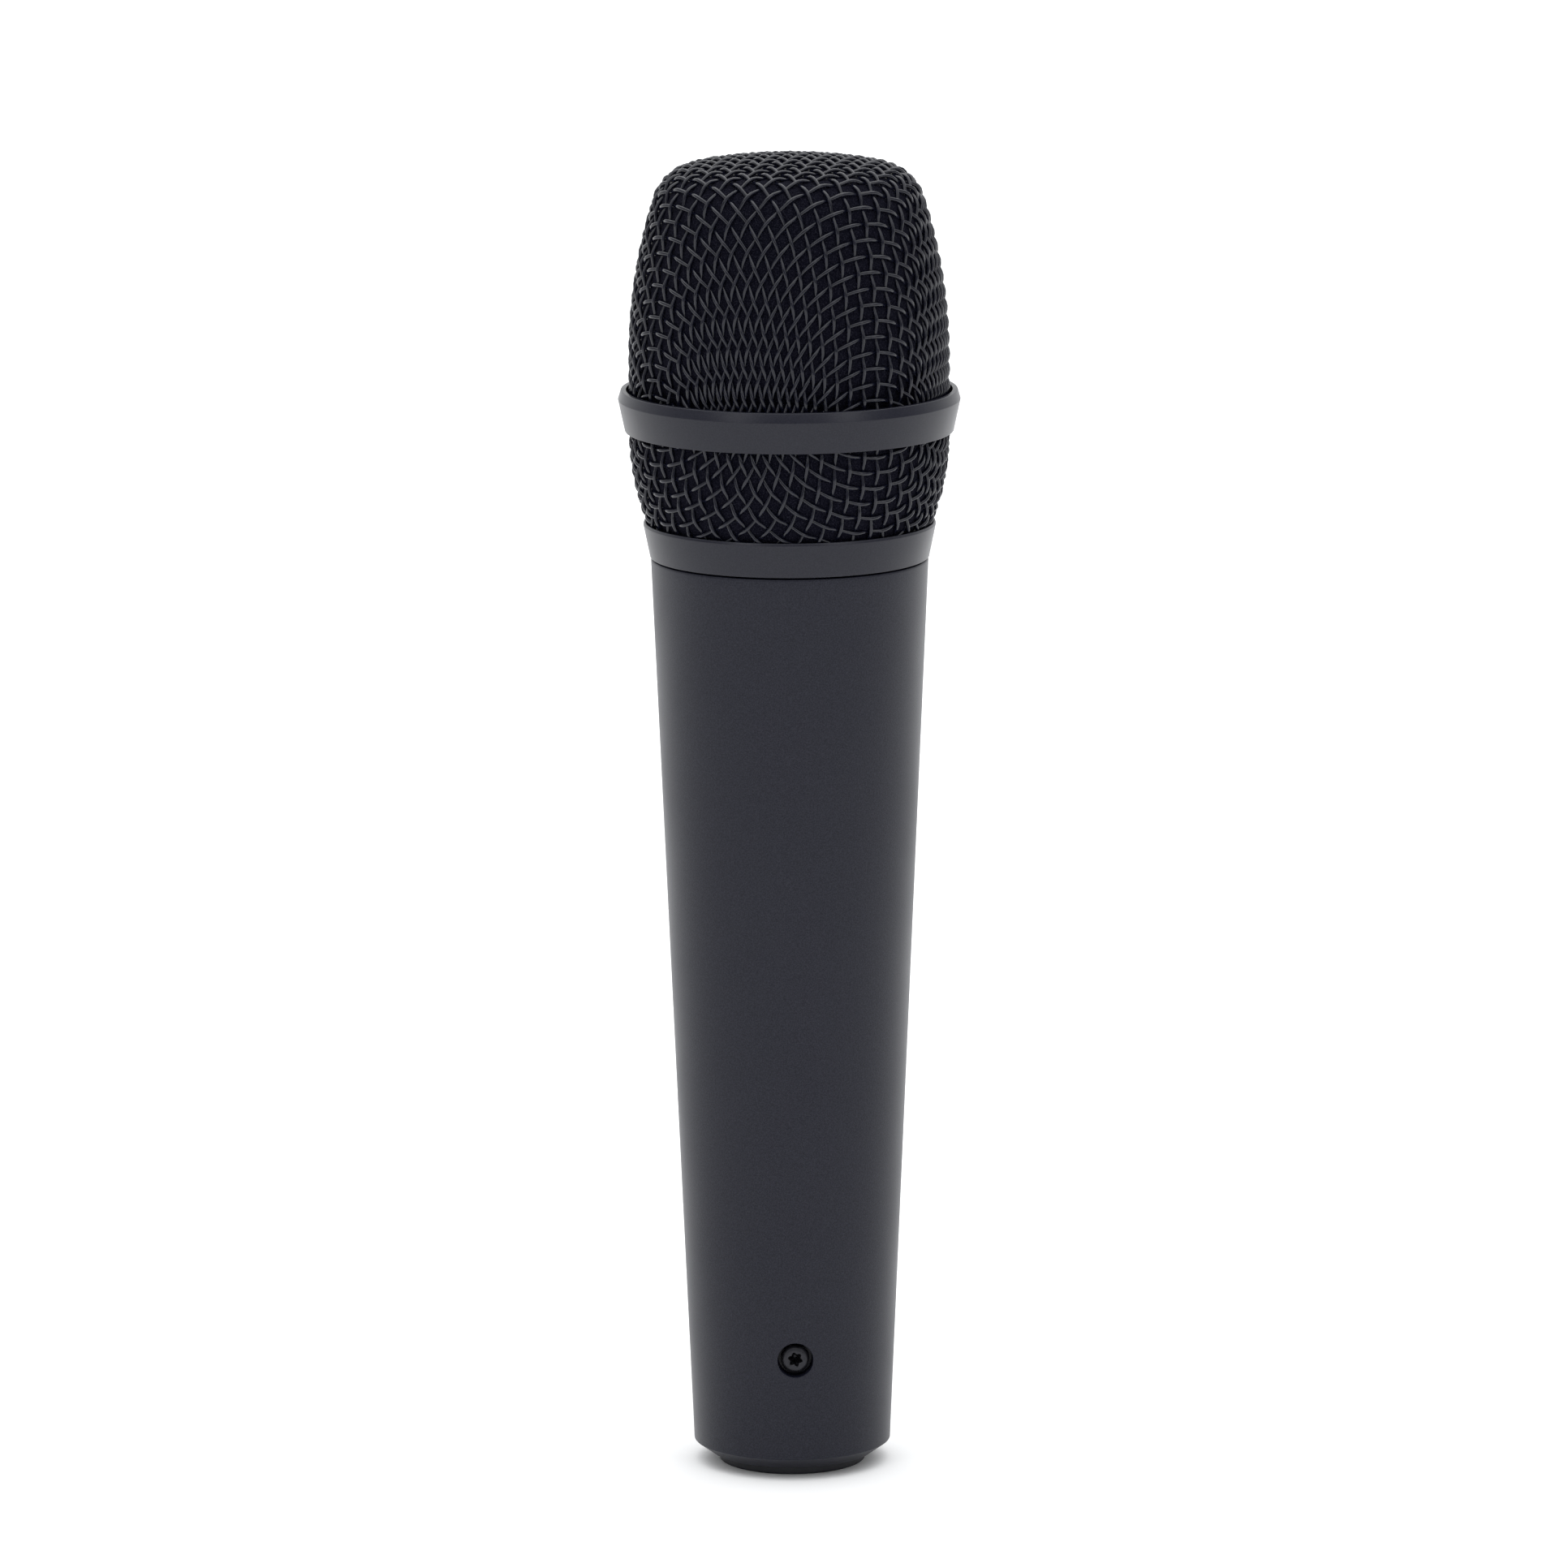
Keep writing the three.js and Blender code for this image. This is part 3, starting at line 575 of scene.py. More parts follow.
class Cloth:
    """Plain-woven wire cloth, pressed over a cup: a square net of crossings that slides into place.

    flat holds each crossing as a direction from the pole times its distance along the cup's outline, and
    index holds the number of the crossing at each row and column of the net, or -1 past its edge."""

    def __init__(self, profile, pitch, turn, shift, bend, shear, lock, pull, half_width):
        self.profile, self.pitch, self.turn, self.shift = profile, pitch, math.radians(turn), shift
        self.bend, self.shear, self.pull = bend, shear, pull
        self.closest = 2 * pitch * math.sin(math.radians(lock) / 2)
        steps = np.arange(-half_width, half_width + 1)
        rows, columns = np.meshgrid(steps, steps, indexing="ij")
        inside = np.hypot(rows, columns) <= half_width + 0.5
        self.index = np.full(rows.shape, -1)
        self.index[inside] = np.arange(inside.sum())
        self.flat = np.stack([rows[inside], columns[inside]], axis=1) * pitch
        self.sides = np.concatenate([self.pairs(1, 0), self.pairs(0, 1)])
        self.diagonals = np.concatenate([self.pairs(1, 1), self.pairs(1, -1)])
        self.runs = np.concatenate([self.triples(1, 0), self.triples(0, 1)])

    def pairs(self, down, across):
        """Crossings that are one step apart in the net."""
        rows, columns = self.index.shape
        a = self.index[:rows - down, max(0, -across):columns - max(0, across)]
        b = self.index[down:, max(0, across):columns - max(0, -across)]
        both = (a >= 0) & (b >= 0)
        return np.stack([a[both], b[both]], axis=1)

    def triples(self, down, across):
        """Three crossings in a row on one wire."""
        rows, columns = self.index.shape
        a = self.index[:rows - 2 * down, :columns - 2 * across]
        b = self.index[down:rows - down, across:columns - across]
        c = self.index[2 * down:, 2 * across:]
        every = (a >= 0) & (b >= 0) & (c >= 0)
        return np.stack([a[every], b[every], c[every]], axis=1)

    def polar(self):
        """Each crossing's distance along the cup's outline, and its direction from the pole."""
        s = np.clip(np.linalg.norm(self.flat, axis=1), 1e-6, self.profile.along[-1])
        return s, self.flat / s[:, None]

    def place(self):
        """Each crossing's point and outward normal on the cup."""
        s, out = self.polar()
        r, z, slope_r, slope_z = self.profile.at(s)
        points = np.column_stack([out * r[:, None], z])
        rising = np.sign(self.profile.points[-1, 1] - self.profile.points[0, 1])
        normals = np.column_stack([out * (rising * slope_z)[:, None], -rising * slope_r])
        return points, normals

    def diagonal_tension(self, length, stiffness=0.6):
        """Resists shearing a little, and stiffly once neighbouring wires lock."""
        locked = stiffness * np.minimum(length - self.closest, 0)
        return locked + self.shear * (length - self.pitch * math.sqrt(2))

    def forces(self, points):
        """The force on each crossing: wires keep their length, resist bending and can't shear past lock."""
        force = np.zeros_like(points)
        pull_together(force, self.sides, points, lambda length: length - self.pitch)
        pull_together(force, self.diagonals, points, self.diagonal_tension)
        a, b, c = self.runs.T
        straighten = self.bend * (points[a] + points[c] - 2 * points[b])
        gather(force, b, 2 * straighten)
        gather(force, a, -straighten)
        gather(force, c, -straighten)
        return force

    def press(self, rounds=900, step=0.22, momentum=0.9, fastest=0.5):
        """Lets the net settle on the cup, and then slides it by its shift."""
        speed = np.zeros_like(self.flat)
        for _ in range(rounds):
            s, out = self.polar()
            r, _z, slope_r, slope_z = self.profile.at(s)
            force = self.forces(self.place()[0])
            down = (force[:, 0] * out[:, 0] + force[:, 1] * out[:, 1]) * slope_r + force[:, 2] * slope_z
            around = (force[:, 1] * out[:, 0] - force[:, 0] * out[:, 1]) * s / np.maximum(r, 1e-6)
            sideways = np.column_stack([-out[:, 1], out[:, 0]])
            move = out * (down + self.pull)[:, None] + sideways * around[:, None]
            speed = momentum * speed + step * move
            size = np.linalg.norm(speed, axis=1)
            speed *= np.minimum(1, fastest / np.maximum(size, 1e-9))[:, None]
            self.flat = self.flat + speed
        self.slide()

    def slide(self):
        """Moves the weave by its shift within its settled shape. Crossings that leave the net are dropped."""
        grid = np.full(self.index.shape + (2,), np.nan)
        inside = self.index >= 0
        grid[inside] = self.flat[self.index[inside]]
        grid = np.pad(grid, ((1, 1), (1, 1), (0, 0)), constant_values=np.nan)
        for axis, share in enumerate(self.shift):
            beside = np.roll(grid, -1 if share > 0 else 1, axis=axis)
            grid = (1 - abs(share)) * grid + abs(share) * beside
        grid = grid[1:-1, 1:-1]
        inside = ~np.isnan(grid[..., 0])
        self.index = np.full(self.index.shape, -1)
        self.index[inside] = np.arange(inside.sum())
        self.flat = grid[inside]

    def wires(self, family):
        """For each wire of the warp (0) or weft (1), its crossings in order and whether each is over."""
        table = self.index if family == 0 else self.index.T
        for line in range(table.shape[0]):
            places = np.nonzero(table[line] >= 0)[0]
            if len(places) > 3:
                over = np.where((places + line) % 2 == family, 1.0, -1.0)
                yield table[line][places], over


def cut_to(centres, normals, keep):
    """The stretches of a wire's centre line where keep(height) is true."""
    inside = keep(centres[:, 2])
    stretches, start = [], None
    for i, ok in enumerate(inside):
        if ok and start is None:
            start = i
        if start is not None and (not ok or i == len(inside) - 1):
            end = i if not ok else i + 1
            if end - start > 3:
                stretches.append((centres[start:end], normals[start:end]))
            start = None
    return stretches


def tube_rings(centres, normals, reach, sides):
    """Rings of points round a centre line, kept square to it."""
    ahead = np.gradient(centres, axis=0)
    ahead /= np.linalg.norm(ahead, axis=1)[:, None]
    across = np.cross(ahead, normals)
    across /= np.linalg.norm(across, axis=1)[:, None]
    up = np.cross(across, ahead)
    angles = np.linspace(0, 2 * math.pi, sides, endpoint=False)
    upward = np.cos(angles)[None, :, None] * up[:, None, :]
    sideways = np.sin(angles)[None, :, None] * across[:, None, :]
    return centres[:, None, :] + reach * (upward + sideways)


def smooth_line(knots, per_span):
    """A Catmull-Rom line through knots."""
    padded = np.concatenate([[2 * knots[0] - knots[1]], knots, [2 * knots[-1] - knots[-2]]])
    t = (np.arange(per_span) / per_span)[None, :, None]
    a, b, c, d = (padded[i:len(padded) - 3 + i, None, :] for i in range(4))
    square, cube = 2 * a - 5 * b + 4 * c - d, 3 * b - a - 3 * c + d
    line = 0.5 * (2 * b + (c - a) * t + square * t ** 2 + cube * t ** 3)
    return np.concatenate([line.reshape(-1, knots.shape[1]), knots[-1:]])


def weave(name, cloth, family, keep, body, sides=8, per_span=4, **options):
    """One family of a cloth's wires as one mesh piece. Each wire crosses over and under the other family."""
    points, normals = cloth.place()
    cosine, sine = math.cos(cloth.turn), math.sin(cloth.turn)
    rotate = np.array([[cosine, sine, 0], [-sine, cosine, 0], [0, 0, 1]])
    points, normals = points @ rotate, normals @ rotate
    all_points, all_faces, offset = [], [], 0
    for crossings, over in cloth.wires(family):
        knots = np.concatenate([points[crossings], normals[crossings], over[:, None]], axis=1)
        line = smooth_line(knots, per_span)
        count = len(line)
        wave = np.cos(math.pi * np.arange(count) / per_span) * over[0]
        up = line[:, 3:6] / np.linalg.norm(line[:, 3:6], axis=1)[:, None]
        centres = line[:, :3] + up * (wave * WIRE / 2)[:, None]
        for stretch, ups in cut_to(centres, up, keep):
            rings = tube_rings(stretch, ups, WIRE / 2, sides)
            all_points.append(rings.reshape(-1, 3))
            faces = grid_faces(len(rings), sides, flip=True)
            last = (len(rings) - 1) * sides
            faces += [tuple(range(sides)), tuple(last + k for k in reversed(range(sides)))]
            all_faces += [tuple(offset + k for k in face) for face in faces]
            offset += len(rings) * sides
    return make_piece(name, np.concatenate(all_points), all_faces, body, sharp=80, **options)


# ---- grille -----------------------------------------------------------------------------------------
def wire_cup(cloth, which, keep, steel):
    """The two families of wires of one pressed cup, kept within its heights."""
    for family, label in enumerate(("warp", "weft")):
        piece = weave(f"grille_{which}_{label}", cloth, family, keep, "grille",
                      replaces=[f"grille_mesh_{which}"], slot="grille_wire")
        piece.data.materials.append(steel)


def grille_wires():
    """The upper cup, and the lower bowl, which is pressed with a floor that is then cut away."""
    steel = coated_wire()
    cup_bottom, bowl_top = low("grille_mesh_upper"), high("grille_mesh_lower")
    cup = Cloth(Profile(cup_outline(WIRE)), **UPPER_CLOTH)
    cup.press()
    wire_cup(cup, "upper", lambda z: z > cup_bottom, steel)
    die, wall = Profile(die_outline(WIRE)), Profile(bowl_outline(WIRE))
    bowl = Cloth(die, **LOWER_CLOTH)
    bowl.press()
    wall.along += die.along[-1] - wall.along[-1]  # both outlines end at the same point above the ring
    bowl.profile = wall
    wire_cup(bowl, "lower", lambda z: (z > BOWL_BOTTOM) & (z < bowl_top), steel)


def grille_ring(trim):
    """The band round the widest part of the grille, with a web that parts the two cups."""
    lip, web_radius, widest_at = MESH_RADIUS + 0.3, 21.2, 152.72
    web_top, web_bottom, bottom = RING_TOP - 2.08, RING_TOP - 3.78, RING_BOTTOM + 0.28
    outline = softened([
        (lip, bottom, 0.1), (RING_RADIUS - 0.95, bottom, 0.3), (RING_RADIUS, widest_at, 0.16),
        (RING_RADIUS - 0.42, RING_TOP, 0.2), (lip, RING_TOP, 0.12),
        (lip, web_top, 0), (web_radius, web_top, 0.1), (web_radius, web_bottom, 0.1), (lip, web_bottom, 0),
    ])
    ring = turned("grille_band", outline, "grille", replaces=["grille_ring"], slot="grille_trim", sharp=50)
    ring.data.materials.append(trim)


def ridge(angle, height, start, turns):
    """How far a helical thread stands from its wall, from 0 to 1. It begins at -Y and rises to the right."""
    half_root, half_crest, run_out = 0.375, 0.125, 0.12
    share = ((angle + math.pi / 2) % (2 * math.pi)) / (2 * math.pi)
    along = (height - start) / THREAD_PITCH - share
    turn = np.clip(np.round(along), 0, np.floor(turns - share))
    off = np.abs(along - turn) * THREAD_PITCH
    flank = np.clip((half_root - off) / (half_root - half_crest), 0, 1)
    travel = np.minimum(turn + share, turns - turn - share)
    return flank * np.clip(travel / run_out, 0, 1)


def grille_collar(trim):
    """The threaded collar that carries the grille, with a raised lip round the foot of the cloth."""
    floor, lip_top, sleeve_top, sleeve_radius, seat_radius = 134.0, 135.4, high("grille_collar"), 18.1, 18.3
    foot_radius, rim_radius, lip_outside, lip_inside, floor_radius = 19.6, 20.55, 20.42, 20.2, 19.85
    root, crest, thread_start, thread_turns = 17.1, 16.25, THREAD_START + 1.5 * THREAD_PITCH, 2
    seat = COLLAR_BOTTOM + 1.5
    wall = [(root, z) for z in np.linspace(sleeve_top - 0.15, seat, 90)]
    outline = softened([
        (seat_radius, COLLAR_BOTTOM, 0), (foot_radius, COLLAR_BOTTOM, 0.15),
        (rim_radius, lip_top - 0.35, 0.2), (lip_outside, lip_top, 0.12), (lip_inside, lip_top, 0.05),
        (floor_radius, floor, 0.1), (sleeve_radius, floor, 0), (sleeve_radius, sleeve_top, 0.15),
        (root, sleeve_top, 0),
    ]) + wall + [(seat_radius, seat)]

    def cut_thread(r, a, z):
        on_wall = np.abs(r - root) < 1e-6
        depth = (root - crest) * ridge(a, z, thread_start, thread_turns)
        return np.where(on_wall, r - depth, r)

    collar = turned("threaded_collar", outline, "grille", reshape=cut_thread, replaces=["grille_collar"],
                    slot="grille_trim", sharp=50)
    collar.data.materials.append(trim)


def foam_windscreen():
    """The foam liner that fills the grille. It swells into the cloth and is slightly uneven."""
    inset = WIRE + 0.2
    inner_radius, foot, sleeve_gap, sleeve_top = 16.6, 134.1, 18.2, high("grille_collar") + 0.05
    groove, groove_low, groove_high = 20.9, 149.4, 152.9
    cup = [p for p in cup_outline(inset) if p[1] > groove_high + 0.1]
    bowl = [p for p in bowl_outline(inset) if foot < p[1] < groove_low - 0.8]
    neck = [(groove, groove_low), (groove, groove_high)]
    inside = [(0, 180.2), (9.0, 180.0), (14.0, 178.2), (inner_radius, 174.2)]
    wall_down = [(inner_radius, z) for z in np.linspace(170, sleeve_top, 12)]
    outline = [(sleeve_gap, sleeve_top), (sleeve_gap, foot)] + bowl + neck + cup[::-1] + inside + wall_down
    lumps = np.random.default_rng(11)
    waves = [(lumps.uniform(3, 40), lumps.uniform(0, 6), lumps.uniform(0.5, 2.5)) for _ in range(12)]

    def lump(r, a, z):
        outside, deepest = 18.5, 0.12
        swell = sum(np.sin(round(k) * a + p + f * z) for k, p, f in waves) / len(waves)
        return r + np.where(r > outside, deepest * swell, 0)

    foam = turned("foam_liner", outline, "grille", columns=144, reshape=lump, replaces=["foam_windscreen"],
                  slot="windscreen_foam", sharp=80)
    foam.data.materials.append(open_foam())


def seal_ring():
    """The O-ring between the handle's shoulder and the collar."""
    inner, outer, rounding = 17.15, 18.0, 0.42
    outline = ring_outline(inner, outer, low("grille_seal"), high("grille_seal"), rounding)
    ring = turned("seal_ring", outline, "seal", replaces=["grille_seal"], slot="black_rubber", sharp=80)
    ring.data.materials.append(black_rubber())


# ---- handle -----------------------------------------------------------------------------------------
def handle_radius(height):
    """Radius of the painted cone at a height."""
    return np.interp(height, (FOOT_EDGE, SHOULDER), (EDGE_RADIUS, HANDLE_RADIUS))


def recess_rings(edge):
    """Rings of points from the edge of a window in the cone to the screw's recess and down to its end."""
    polar = np.arctan2(edge[:, 2] - SCREW_HEIGHT, edge[:, 0])
    unit = np.stack([np.cos(polar), np.sin(polar)], axis=1)
    rounding, floor_edge, screw_hole, hole_depth = 0.16, 0.15, 1.5, 0.4

    def on_cone(across, height, sink=0.0):
        front = np.sqrt(handle_radius(height) ** 2 - across ** 2) - sink
        return np.stack([across, -front, height], axis=1)

    def at_depth(reach, distance):
        across, height = unit[:, 0] * reach, SCREW_HEIGHT + unit[:, 1] * reach
        return np.stack([across, np.full_like(across, -distance), height], axis=1)

    rings = []
    rim = unit * (RECESS_RADIUS + rounding)
    for share in (0.3, 0.6, 0.85, 1.0):  # of the way from the window's edge to the rim
        across = edge[:, 0] * (1 - share) + rim[:, 0] * share
        height = edge[:, 2] * (1 - share) + (SCREW_HEIGHT + rim[:, 1]) * share
        rings.append(on_cone(across, height))
    for turn in np.radians((20, 45, 70, 90)):
        reach = RECESS_RADIUS + rounding * (1 - math.sin(turn))
        rings.append(on_cone(unit[:, 0] * reach, SCREW_HEIGHT + unit[:, 1] * reach,
                             rounding * (1 - math.cos(turn))))
    for reach, distance in (
        (RECESS_RADIUS, RECESS_FLOOR + floor_edge), (RECESS_RADIUS - floor_edge, RECESS_FLOOR),
        (screw_hole, RECESS_FLOOR), (screw_hole, RECESS_FLOOR - hole_depth),
    ):
        rings.append(at_depth(reach, distance))
    return rings


def handle_profile(window_rows):
    """The handle's closed outline, and the row of it where the window round the screw begins."""
    bore, bore_top, wall, wall_low, wall_high, carrier = 10.75, 28, 2.3, 29.5, 121, 14.4
    foot_top, cone_top, below_window, above_window = 6, 128.5, 4, 39
    outline = softened([
        (bore, BASE, 0.1), (FOOT_RADIUS, BASE, 0.2), (EDGE_RADIUS, FOOT_EDGE, 0.25),
        (HANDLE_RADIUS, SHOULDER, 0.35), (carrier, SHOULDER, 0), (carrier - 1, SHOULDER - 6, 0),
        (handle_radius(wall_high) - wall, wall_high, 0), (handle_radius(wall_low) - wall, wall_low, 0),
        (bore, bore_top, 0),
    ])
    foot = [p for p in outline if p[1] < foot_top]
    window = np.linspace(SCREW_HEIGHT - WINDOW, SCREW_HEIGHT + WINDOW, window_rows + 1)
    heights = [*np.linspace(foot_top, window[0], below_window + 1)[:-1], *window,
               *np.linspace(window[-1], cone_top, above_window + 1)[1:]]
    cone = [(float(handle_radius(z)), z) for z in heights]
    return foot + cone + outline[len(foot):], len(foot) + below_window


def window_edge(first, last, half, columns):
    """Points round a window in a grid, counter-clockwise from its lower left corner as the front is seen."""
    around = [(first, j) for j in range(-half, half)]
    around += [(i, half) for i in range(first, last)]
    around += [(last, j) for j in range(half, -half, -1)]
    around += [(i, -half) for i in range(last, first, -1)]
    return [i * columns + j % columns for i, j in around]


def handle_shell(paint):
    """The painted cone, with a window of rings round the screw's recess."""
    window_rows, window_half, columns = 16, 8, SMOOTH
    profile, first = handle_profile(window_rows)
    rows, last = len(profile), first + window_rows
    angles = np.linspace(0, 2 * math.pi, columns, endpoint=False) + FRONT
    points = [(r * math.cos(a), r * math.sin(a), z) for r, z in profile for a in angles]
    faces = []
    for i in range(rows):
        for j in range(columns):
            in_window = first <= i < last and (j + window_half) % columns < 2 * window_half
            if not in_window:
                k, n = (j + 1) % columns, (i + 1) % rows
                faces.append((i * columns + j, i * columns + k, n * columns + k, n * columns + j))
    loop = window_edge(first, last, window_half, columns)
    for ring in recess_rings(np.array([points[k] for k in loop])):
        fresh = list(range(len(points), len(points) + len(loop)))
        points += [tuple(p) for p in ring]
        for j in range(len(loop)):
            k = (j + 1) % len(loop)
            faces.append((loop[j], loop[k], fresh[k], fresh[j]))
        loop = fresh
    faces.append(tuple(loop))
    shell = make_piece("handle_shell", points, faces, "handle", replaces=["handle_body"], slot="handle_paint",
                       sharp=40)
    shell.data.materials.append(paint)


def handle_neck():
    """The threaded neck that the grille screws on to."""
    bore, bottom, chamfer = 14.4, SHOULDER - 0.1, 0.4
    wall = [(THREAD_ROOT, z) for z in np.linspace(bottom, NECK_TOP - chamfer, 120)]
    outline = [(bore, bottom)] + wall + [(THREAD_ROOT - chamfer, NECK_TOP), (bore, NECK_TOP)]

    def raise_thread(r, a, z):
        on_wall = np.abs(r - THREAD_ROOT) < 1e-6
        height = (THREAD_CREST - THREAD_ROOT) * ridge(a, z, THREAD_START, THREAD_TURNS)
        return np.where(on_wall, r + height, r)

    neck = turned("handle_neck", outline, "handle", reshape=raise_thread, slot="handle_paint", sharp=50)
    neck.data.materials.append(plated_metal("bare_neck", (0.12, 0.12, 0.125), (0.2, 0.2, 0.21), 0.3, 0.45))


def button_screw():
    """A round-headed screw with a six-lobed socket, lying along Y."""
    box_low, box_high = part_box("xlr_screw")
    tip, face = -box_high.y / MM, -box_low.y / MM
    head_radius = (box_high.z - box_low.z) / MM / 2
    seat, shank, chamfer, edge = face - 1.45, 1.2, 0.3, 0.06
    dome, dimple, crown = 0.6, 0.02, 0.58
    lobes, socket_radius, lobe_depth, steps = 6, 1.05, 0.14, 72
    polar = np.linspace(0, 2 * math.pi, steps, endpoint=False)
    socket = socket_radius * (1 - lobe_depth + lobe_depth * np.cos(lobes * polar + math.pi / 2))
    round_ring = np.ones(steps)
    rings = [
        ((shank - chamfer) * round_ring, tip), (shank * round_ring, tip + 0.4), (shank * round_ring, seat),
        ((head_radius - edge) * round_ring, seat), (head_radius * round_ring, seat + edge),
        (head_radius * round_ring, face - dome - edge),
    ]
    for share in np.linspace(0, 1, 8):
        height = face - dome + (dome - dimple) * math.sin(share * math.pi / 2)
        rings.append((head_radius * round_ring * (1 - (1 - crown) * share ** 1.8), height))
    rings += [
        (socket * 1.08, face - 0.02), (socket, face - 0.06), (socket, face - 0.14),
        (socket * 0.97, face - 1.3), (0.2 * round_ring, face - 2.1),
    ]
    points = [
        (r * math.cos(a), -depth, SCREW_HEIGHT + r * math.sin(a))
        for reach, depth in rings for r, a in zip(reach, polar)
    ]
    faces = grid_faces(len(rings), steps)
    last = (len(rings) - 1) * steps
    faces += [tuple(reversed(range(steps))), tuple(last + k for k in range(steps))]
    screw = make_piece("button_screw", points, faces, "retaining_screw", replaces=["xlr_screw"],
                       slot="screw_black", sharp=32)
    screw.data.materials.append(blackened_steel())


# ---- outlet -----------------------------------------------------------------------------------------
def outlet_shell():
    """The three-pin outlet's housing, with a keyway in the wall of its socket at +Y."""
    top, step, socket, seat = high("xlr_housing"), 15.0, 8.1, 8.9
    key_half, key_wall, key_top = 1.1, 8.8, 12.0
    outline = softened([
        (socket, 0, 0.4), (OUTLET_RADIUS, 0, 0.35), (OUTLET_RADIUS, top, 0.2), (seat, top, 0),
        (seat, step, 0), (socket, step, 0),
    ]) + [(socket, key_top + 0.01), (socket, key_top), (socket, 8.0), (socket, 4.0)]

    def cut_key(r, a, z):
        across, deep = r * np.cos(a), r * np.sin(a)
        on_wall = (r < socket + 0.5) & (z < key_top + 0.005)
        in_key = on_wall & (np.abs(across) < key_half) & (deep > 0)
        return np.where(in_key, key_wall / np.maximum(np.sin(a), 0.1), r)

    shell = turned("outlet_shell", outline, "handle", reshape=cut_key, replaces=["xlr_housing"],
                   slot="outlet_shell", sharp=40)
    black = moulded_plastic("outlet_shell_black", (0.003, 0.0033, 0.0075), (0.007, 0.0075, 0.013))
    shell.data.materials.append(black)


def outlet_insert():
    """The insulator that holds the pins."""
    edge, bottom, top = radius("xlr_insert"), low("xlr_insert"), high("xlr_insert")
    outline = softened([(0, bottom, 0), (edge, bottom, 0.25), (edge, top, 0.2), (0, top, 0)])
    insert = turned("outlet_insert", outline, "handle", columns=FINE, replaces=["xlr_insert"],
                    slot="outlet_insert", sharp=40)
    black = moulded_plastic("outlet_insert_black", (0.01, 0.011, 0.013), (0.02, 0.02, 0.024))
    insert.data.materials.append(black)


def contact_pins():
    """Three round-nosed pins with a hollow solder cup at their inner end."""
    nose, cup_wall, cup_depth = 0.9, 0.35, 3
    silver = plated_metal("contact_silver", (0.5, 0.49, 0.46), (0.72, 0.71, 0.68), 0.18, 0.32, (1, 1, 0.2))
    for number in (1, 2, 3):
        node = f"xlr_pin_{number}"
        lowest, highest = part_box(node)
        centre = (lowest + highest) / 2 / MM
        reach = (highest.x - lowest.x) / MM / 2
        tip, end = lowest.z / MM, highest.z / MM
        shape = softened([
            (0, tip, 0), (0.62 * reach, tip, 0.2), (reach, tip + nose, 0.5), (reach, end, 0),
            (reach - cup_wall, end, 0), (reach - cup_wall, end - cup_depth, 0), (0, end - cup_depth, 0),
        ])
        pin = turned(f"contact_pin_{number}", shape, "handle", columns=32, replaces=[node],
                     slot="contact_silver", sharp=50)
        for vertex in pin.data.vertices:
            vertex.co.x += centre.x * MM
            vertex.co.y += centre.y * MM
        pin.data.materials.append(silver)


# ---- inner pieces -------------------------------------------------------------------------------------
def soft_inner_pieces():
    """The foam sleeve round the transformer and the felt behind the capsule."""
    felt = fibrous("grey_felt", (0.3, 0.29, 0.25), (0.6, 0.58, 0.5))
    for node, name, body, slot, inner, material in (
        ("transformer_sleeve", "transformer_wrap", "handle", "windscreen_foam", 9.8, open_foam()),
        ("damping_felt", "felt_washer", "capsule", "damping_felt", 1.5, felt),
    ):
        outer, bottom, top = radius(node), low(node), high(node)
        rounding = 0.3 * min(outer - inner, top - bottom)
        outline = ring_outline(inner, outer, bottom, top, rounding)
        piece = turned(name, outline, body, columns=FINE, replaces=[node], slot=slot, sharp=80)
        piece.data.materials.append(material)


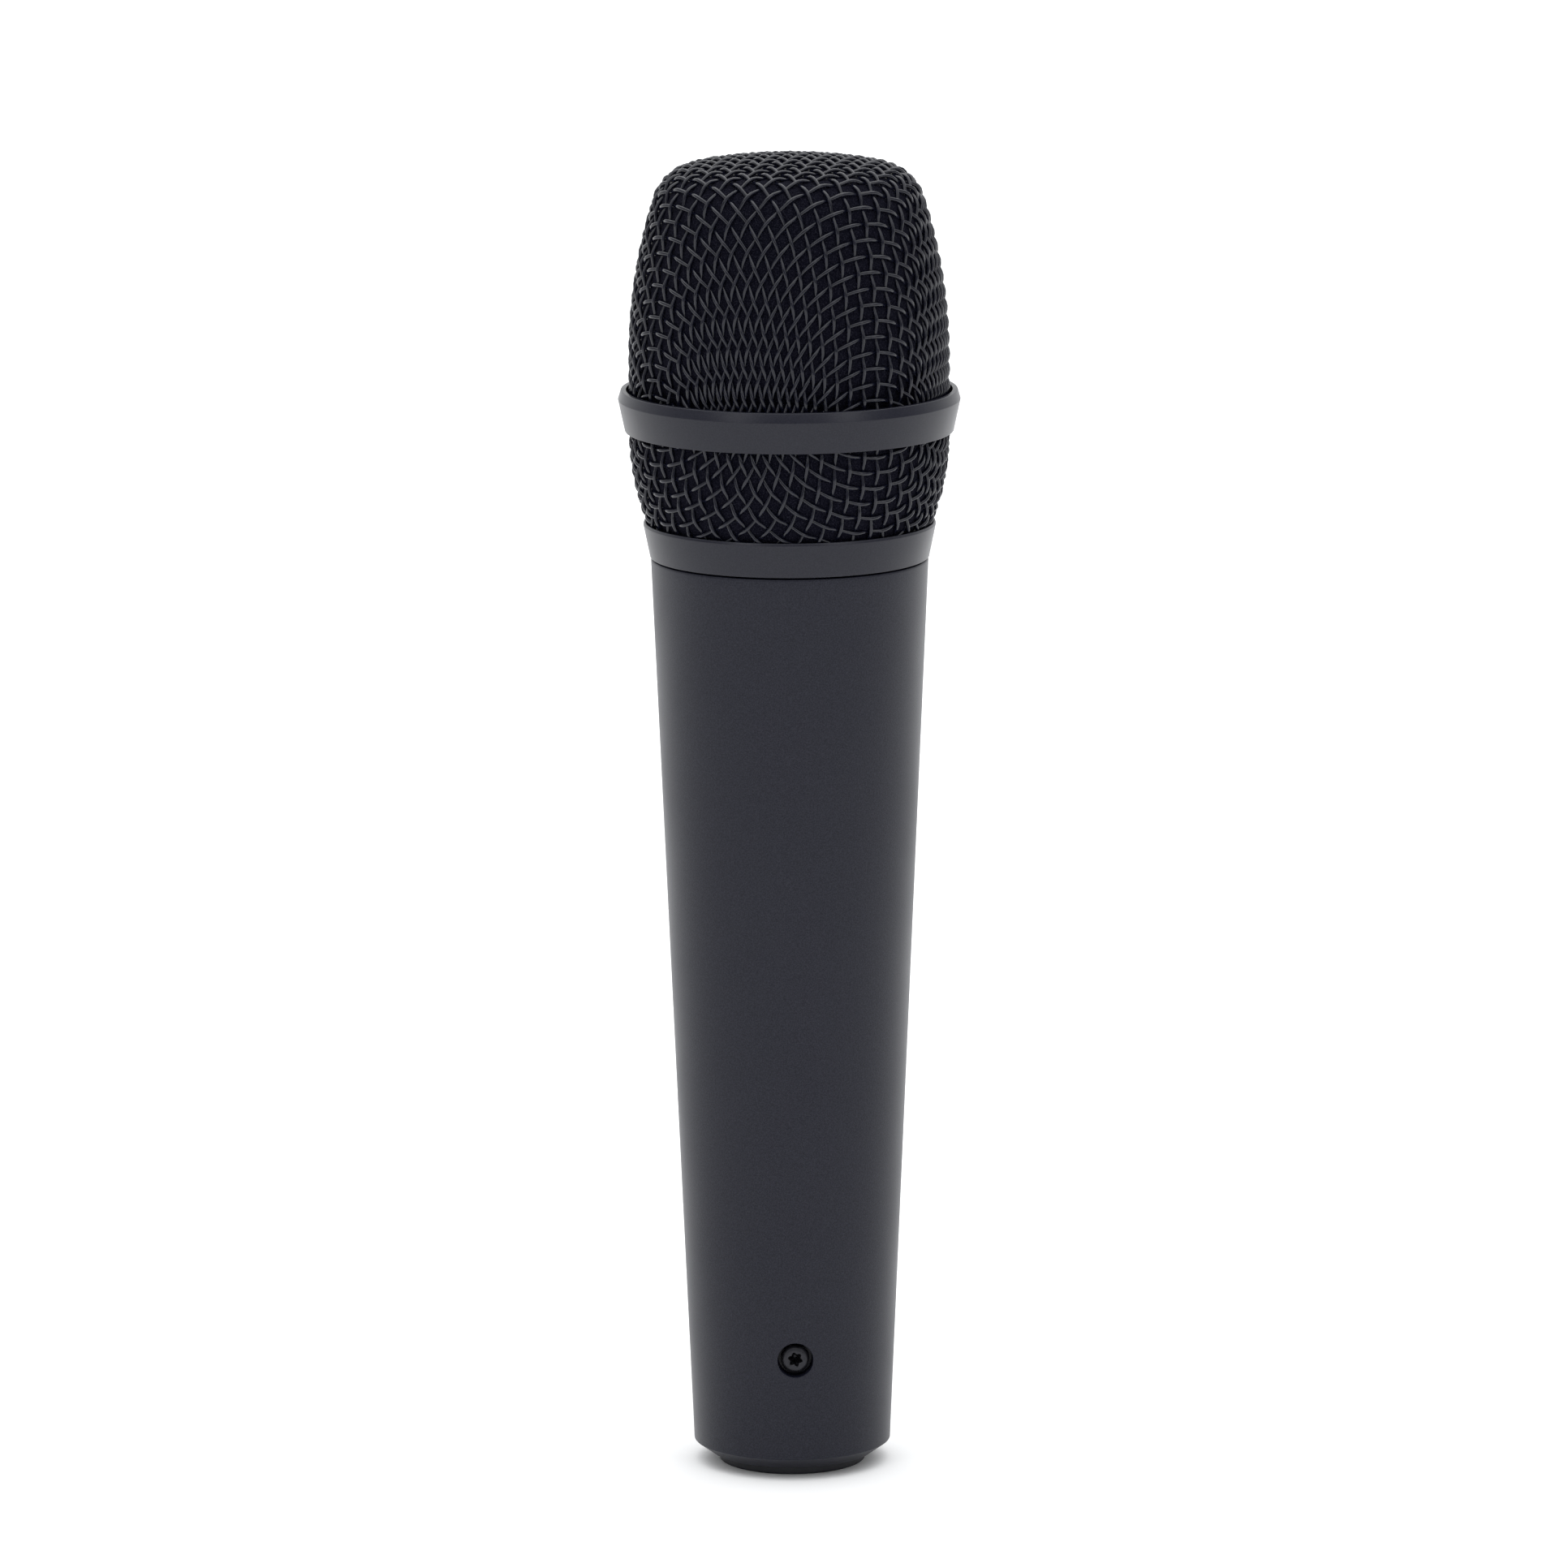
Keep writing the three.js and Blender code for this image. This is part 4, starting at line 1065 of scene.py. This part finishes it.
def inner_finishes():
    """The finish of each material slot that only inner pieces use."""
    return {
        "black_rubber": black_rubber(),
        "capsule_plastic": moulded_plastic("capsule_black", (0.01, 0.011, 0.012), (0.024, 0.025, 0.028)),
        "motor_steel": plated_metal("motor_steel", (0.28, 0.29, 0.31), (0.45, 0.46, 0.48), 0.28, 0.42),
        "magnet_nickel": plated_metal("magnet_nickel", (0.5, 0.49, 0.46), (0.65, 0.64, 0.6), 0.12, 0.22),
        "diaphragm_film": stretched_film(),
        "enamelled_copper": wound_copper(),
        "contact_silver": plated_metal("tag_silver", (0.5, 0.49, 0.46), (0.7, 0.69, 0.66), 0.2, 0.35),
        "terminal_laminate": moulded_plastic("laminate", (0.2, 0.13, 0.05), (0.32, 0.22, 0.1)),
        "bobbin_nylon": moulded_plastic("nylon", (0.55, 0.52, 0.42), (0.68, 0.65, 0.55)),
        "lead_red": moulded_plastic("red_insulation", (0.3, 0.012, 0.012), (0.45, 0.03, 0.025)),
        "lead_black": moulded_plastic("black_insulation", (0.008, 0.008, 0.008), (0.02, 0.02, 0.02)),
        "lead_green": moulded_plastic("green_insulation", (0.015, 0.12, 0.03), (0.03, 0.2, 0.06)),
    }


def flexing_pieces(finishes):
    """The capsule's leads and rubber mount, which stretch between the handle and the floating capsule."""
    for node, name, slot in (
        ("capsule_lead_hot", "flexing_lead_hot", "lead_red"),
        ("capsule_lead_cold", "flexing_lead_cold", "lead_black"),
        ("shock_mount", "rubber_mount", "black_rubber"),
    ):
        mesh = frame["nodes"][node].data.copy()
        mesh.name = name
        mesh.shade_smooth()
        mesh.set_sharp_from_angle(angle=math.radians(50))
        mesh.materials.clear()
        mesh.materials.append(finishes[slot])
        piece = bpy.data.objects.new(name, mesh)
        bpy.context.scene.collection.objects.link(piece)
        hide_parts(node)
        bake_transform(piece)


def finish_frame_nodes(finishes):
    """Gives every CAD node that is still shown the finish of its slot."""
    for part in frame["record"]["subparts"]:
        node = frame["nodes"][part["node"]]
        if not node.hide_render:
            for slot in node.material_slots:
                slot.material = finishes[part["material_slot"]]


add_camera()
add_floor()
add_world()
add_lights()

paint = satin_paint()
trim = anodised_trim()
handle_shell(paint)
handle_neck()
seal_ring()
grille_ring(trim)
grille_collar(trim)
grille_wires()
foam_windscreen()
outlet_shell()
outlet_insert()
contact_pins()
button_screw()
soft_inner_pieces()
finishes = inner_finishes()
flexing_pieces(finishes)
finish_frame_nodes(finishes)
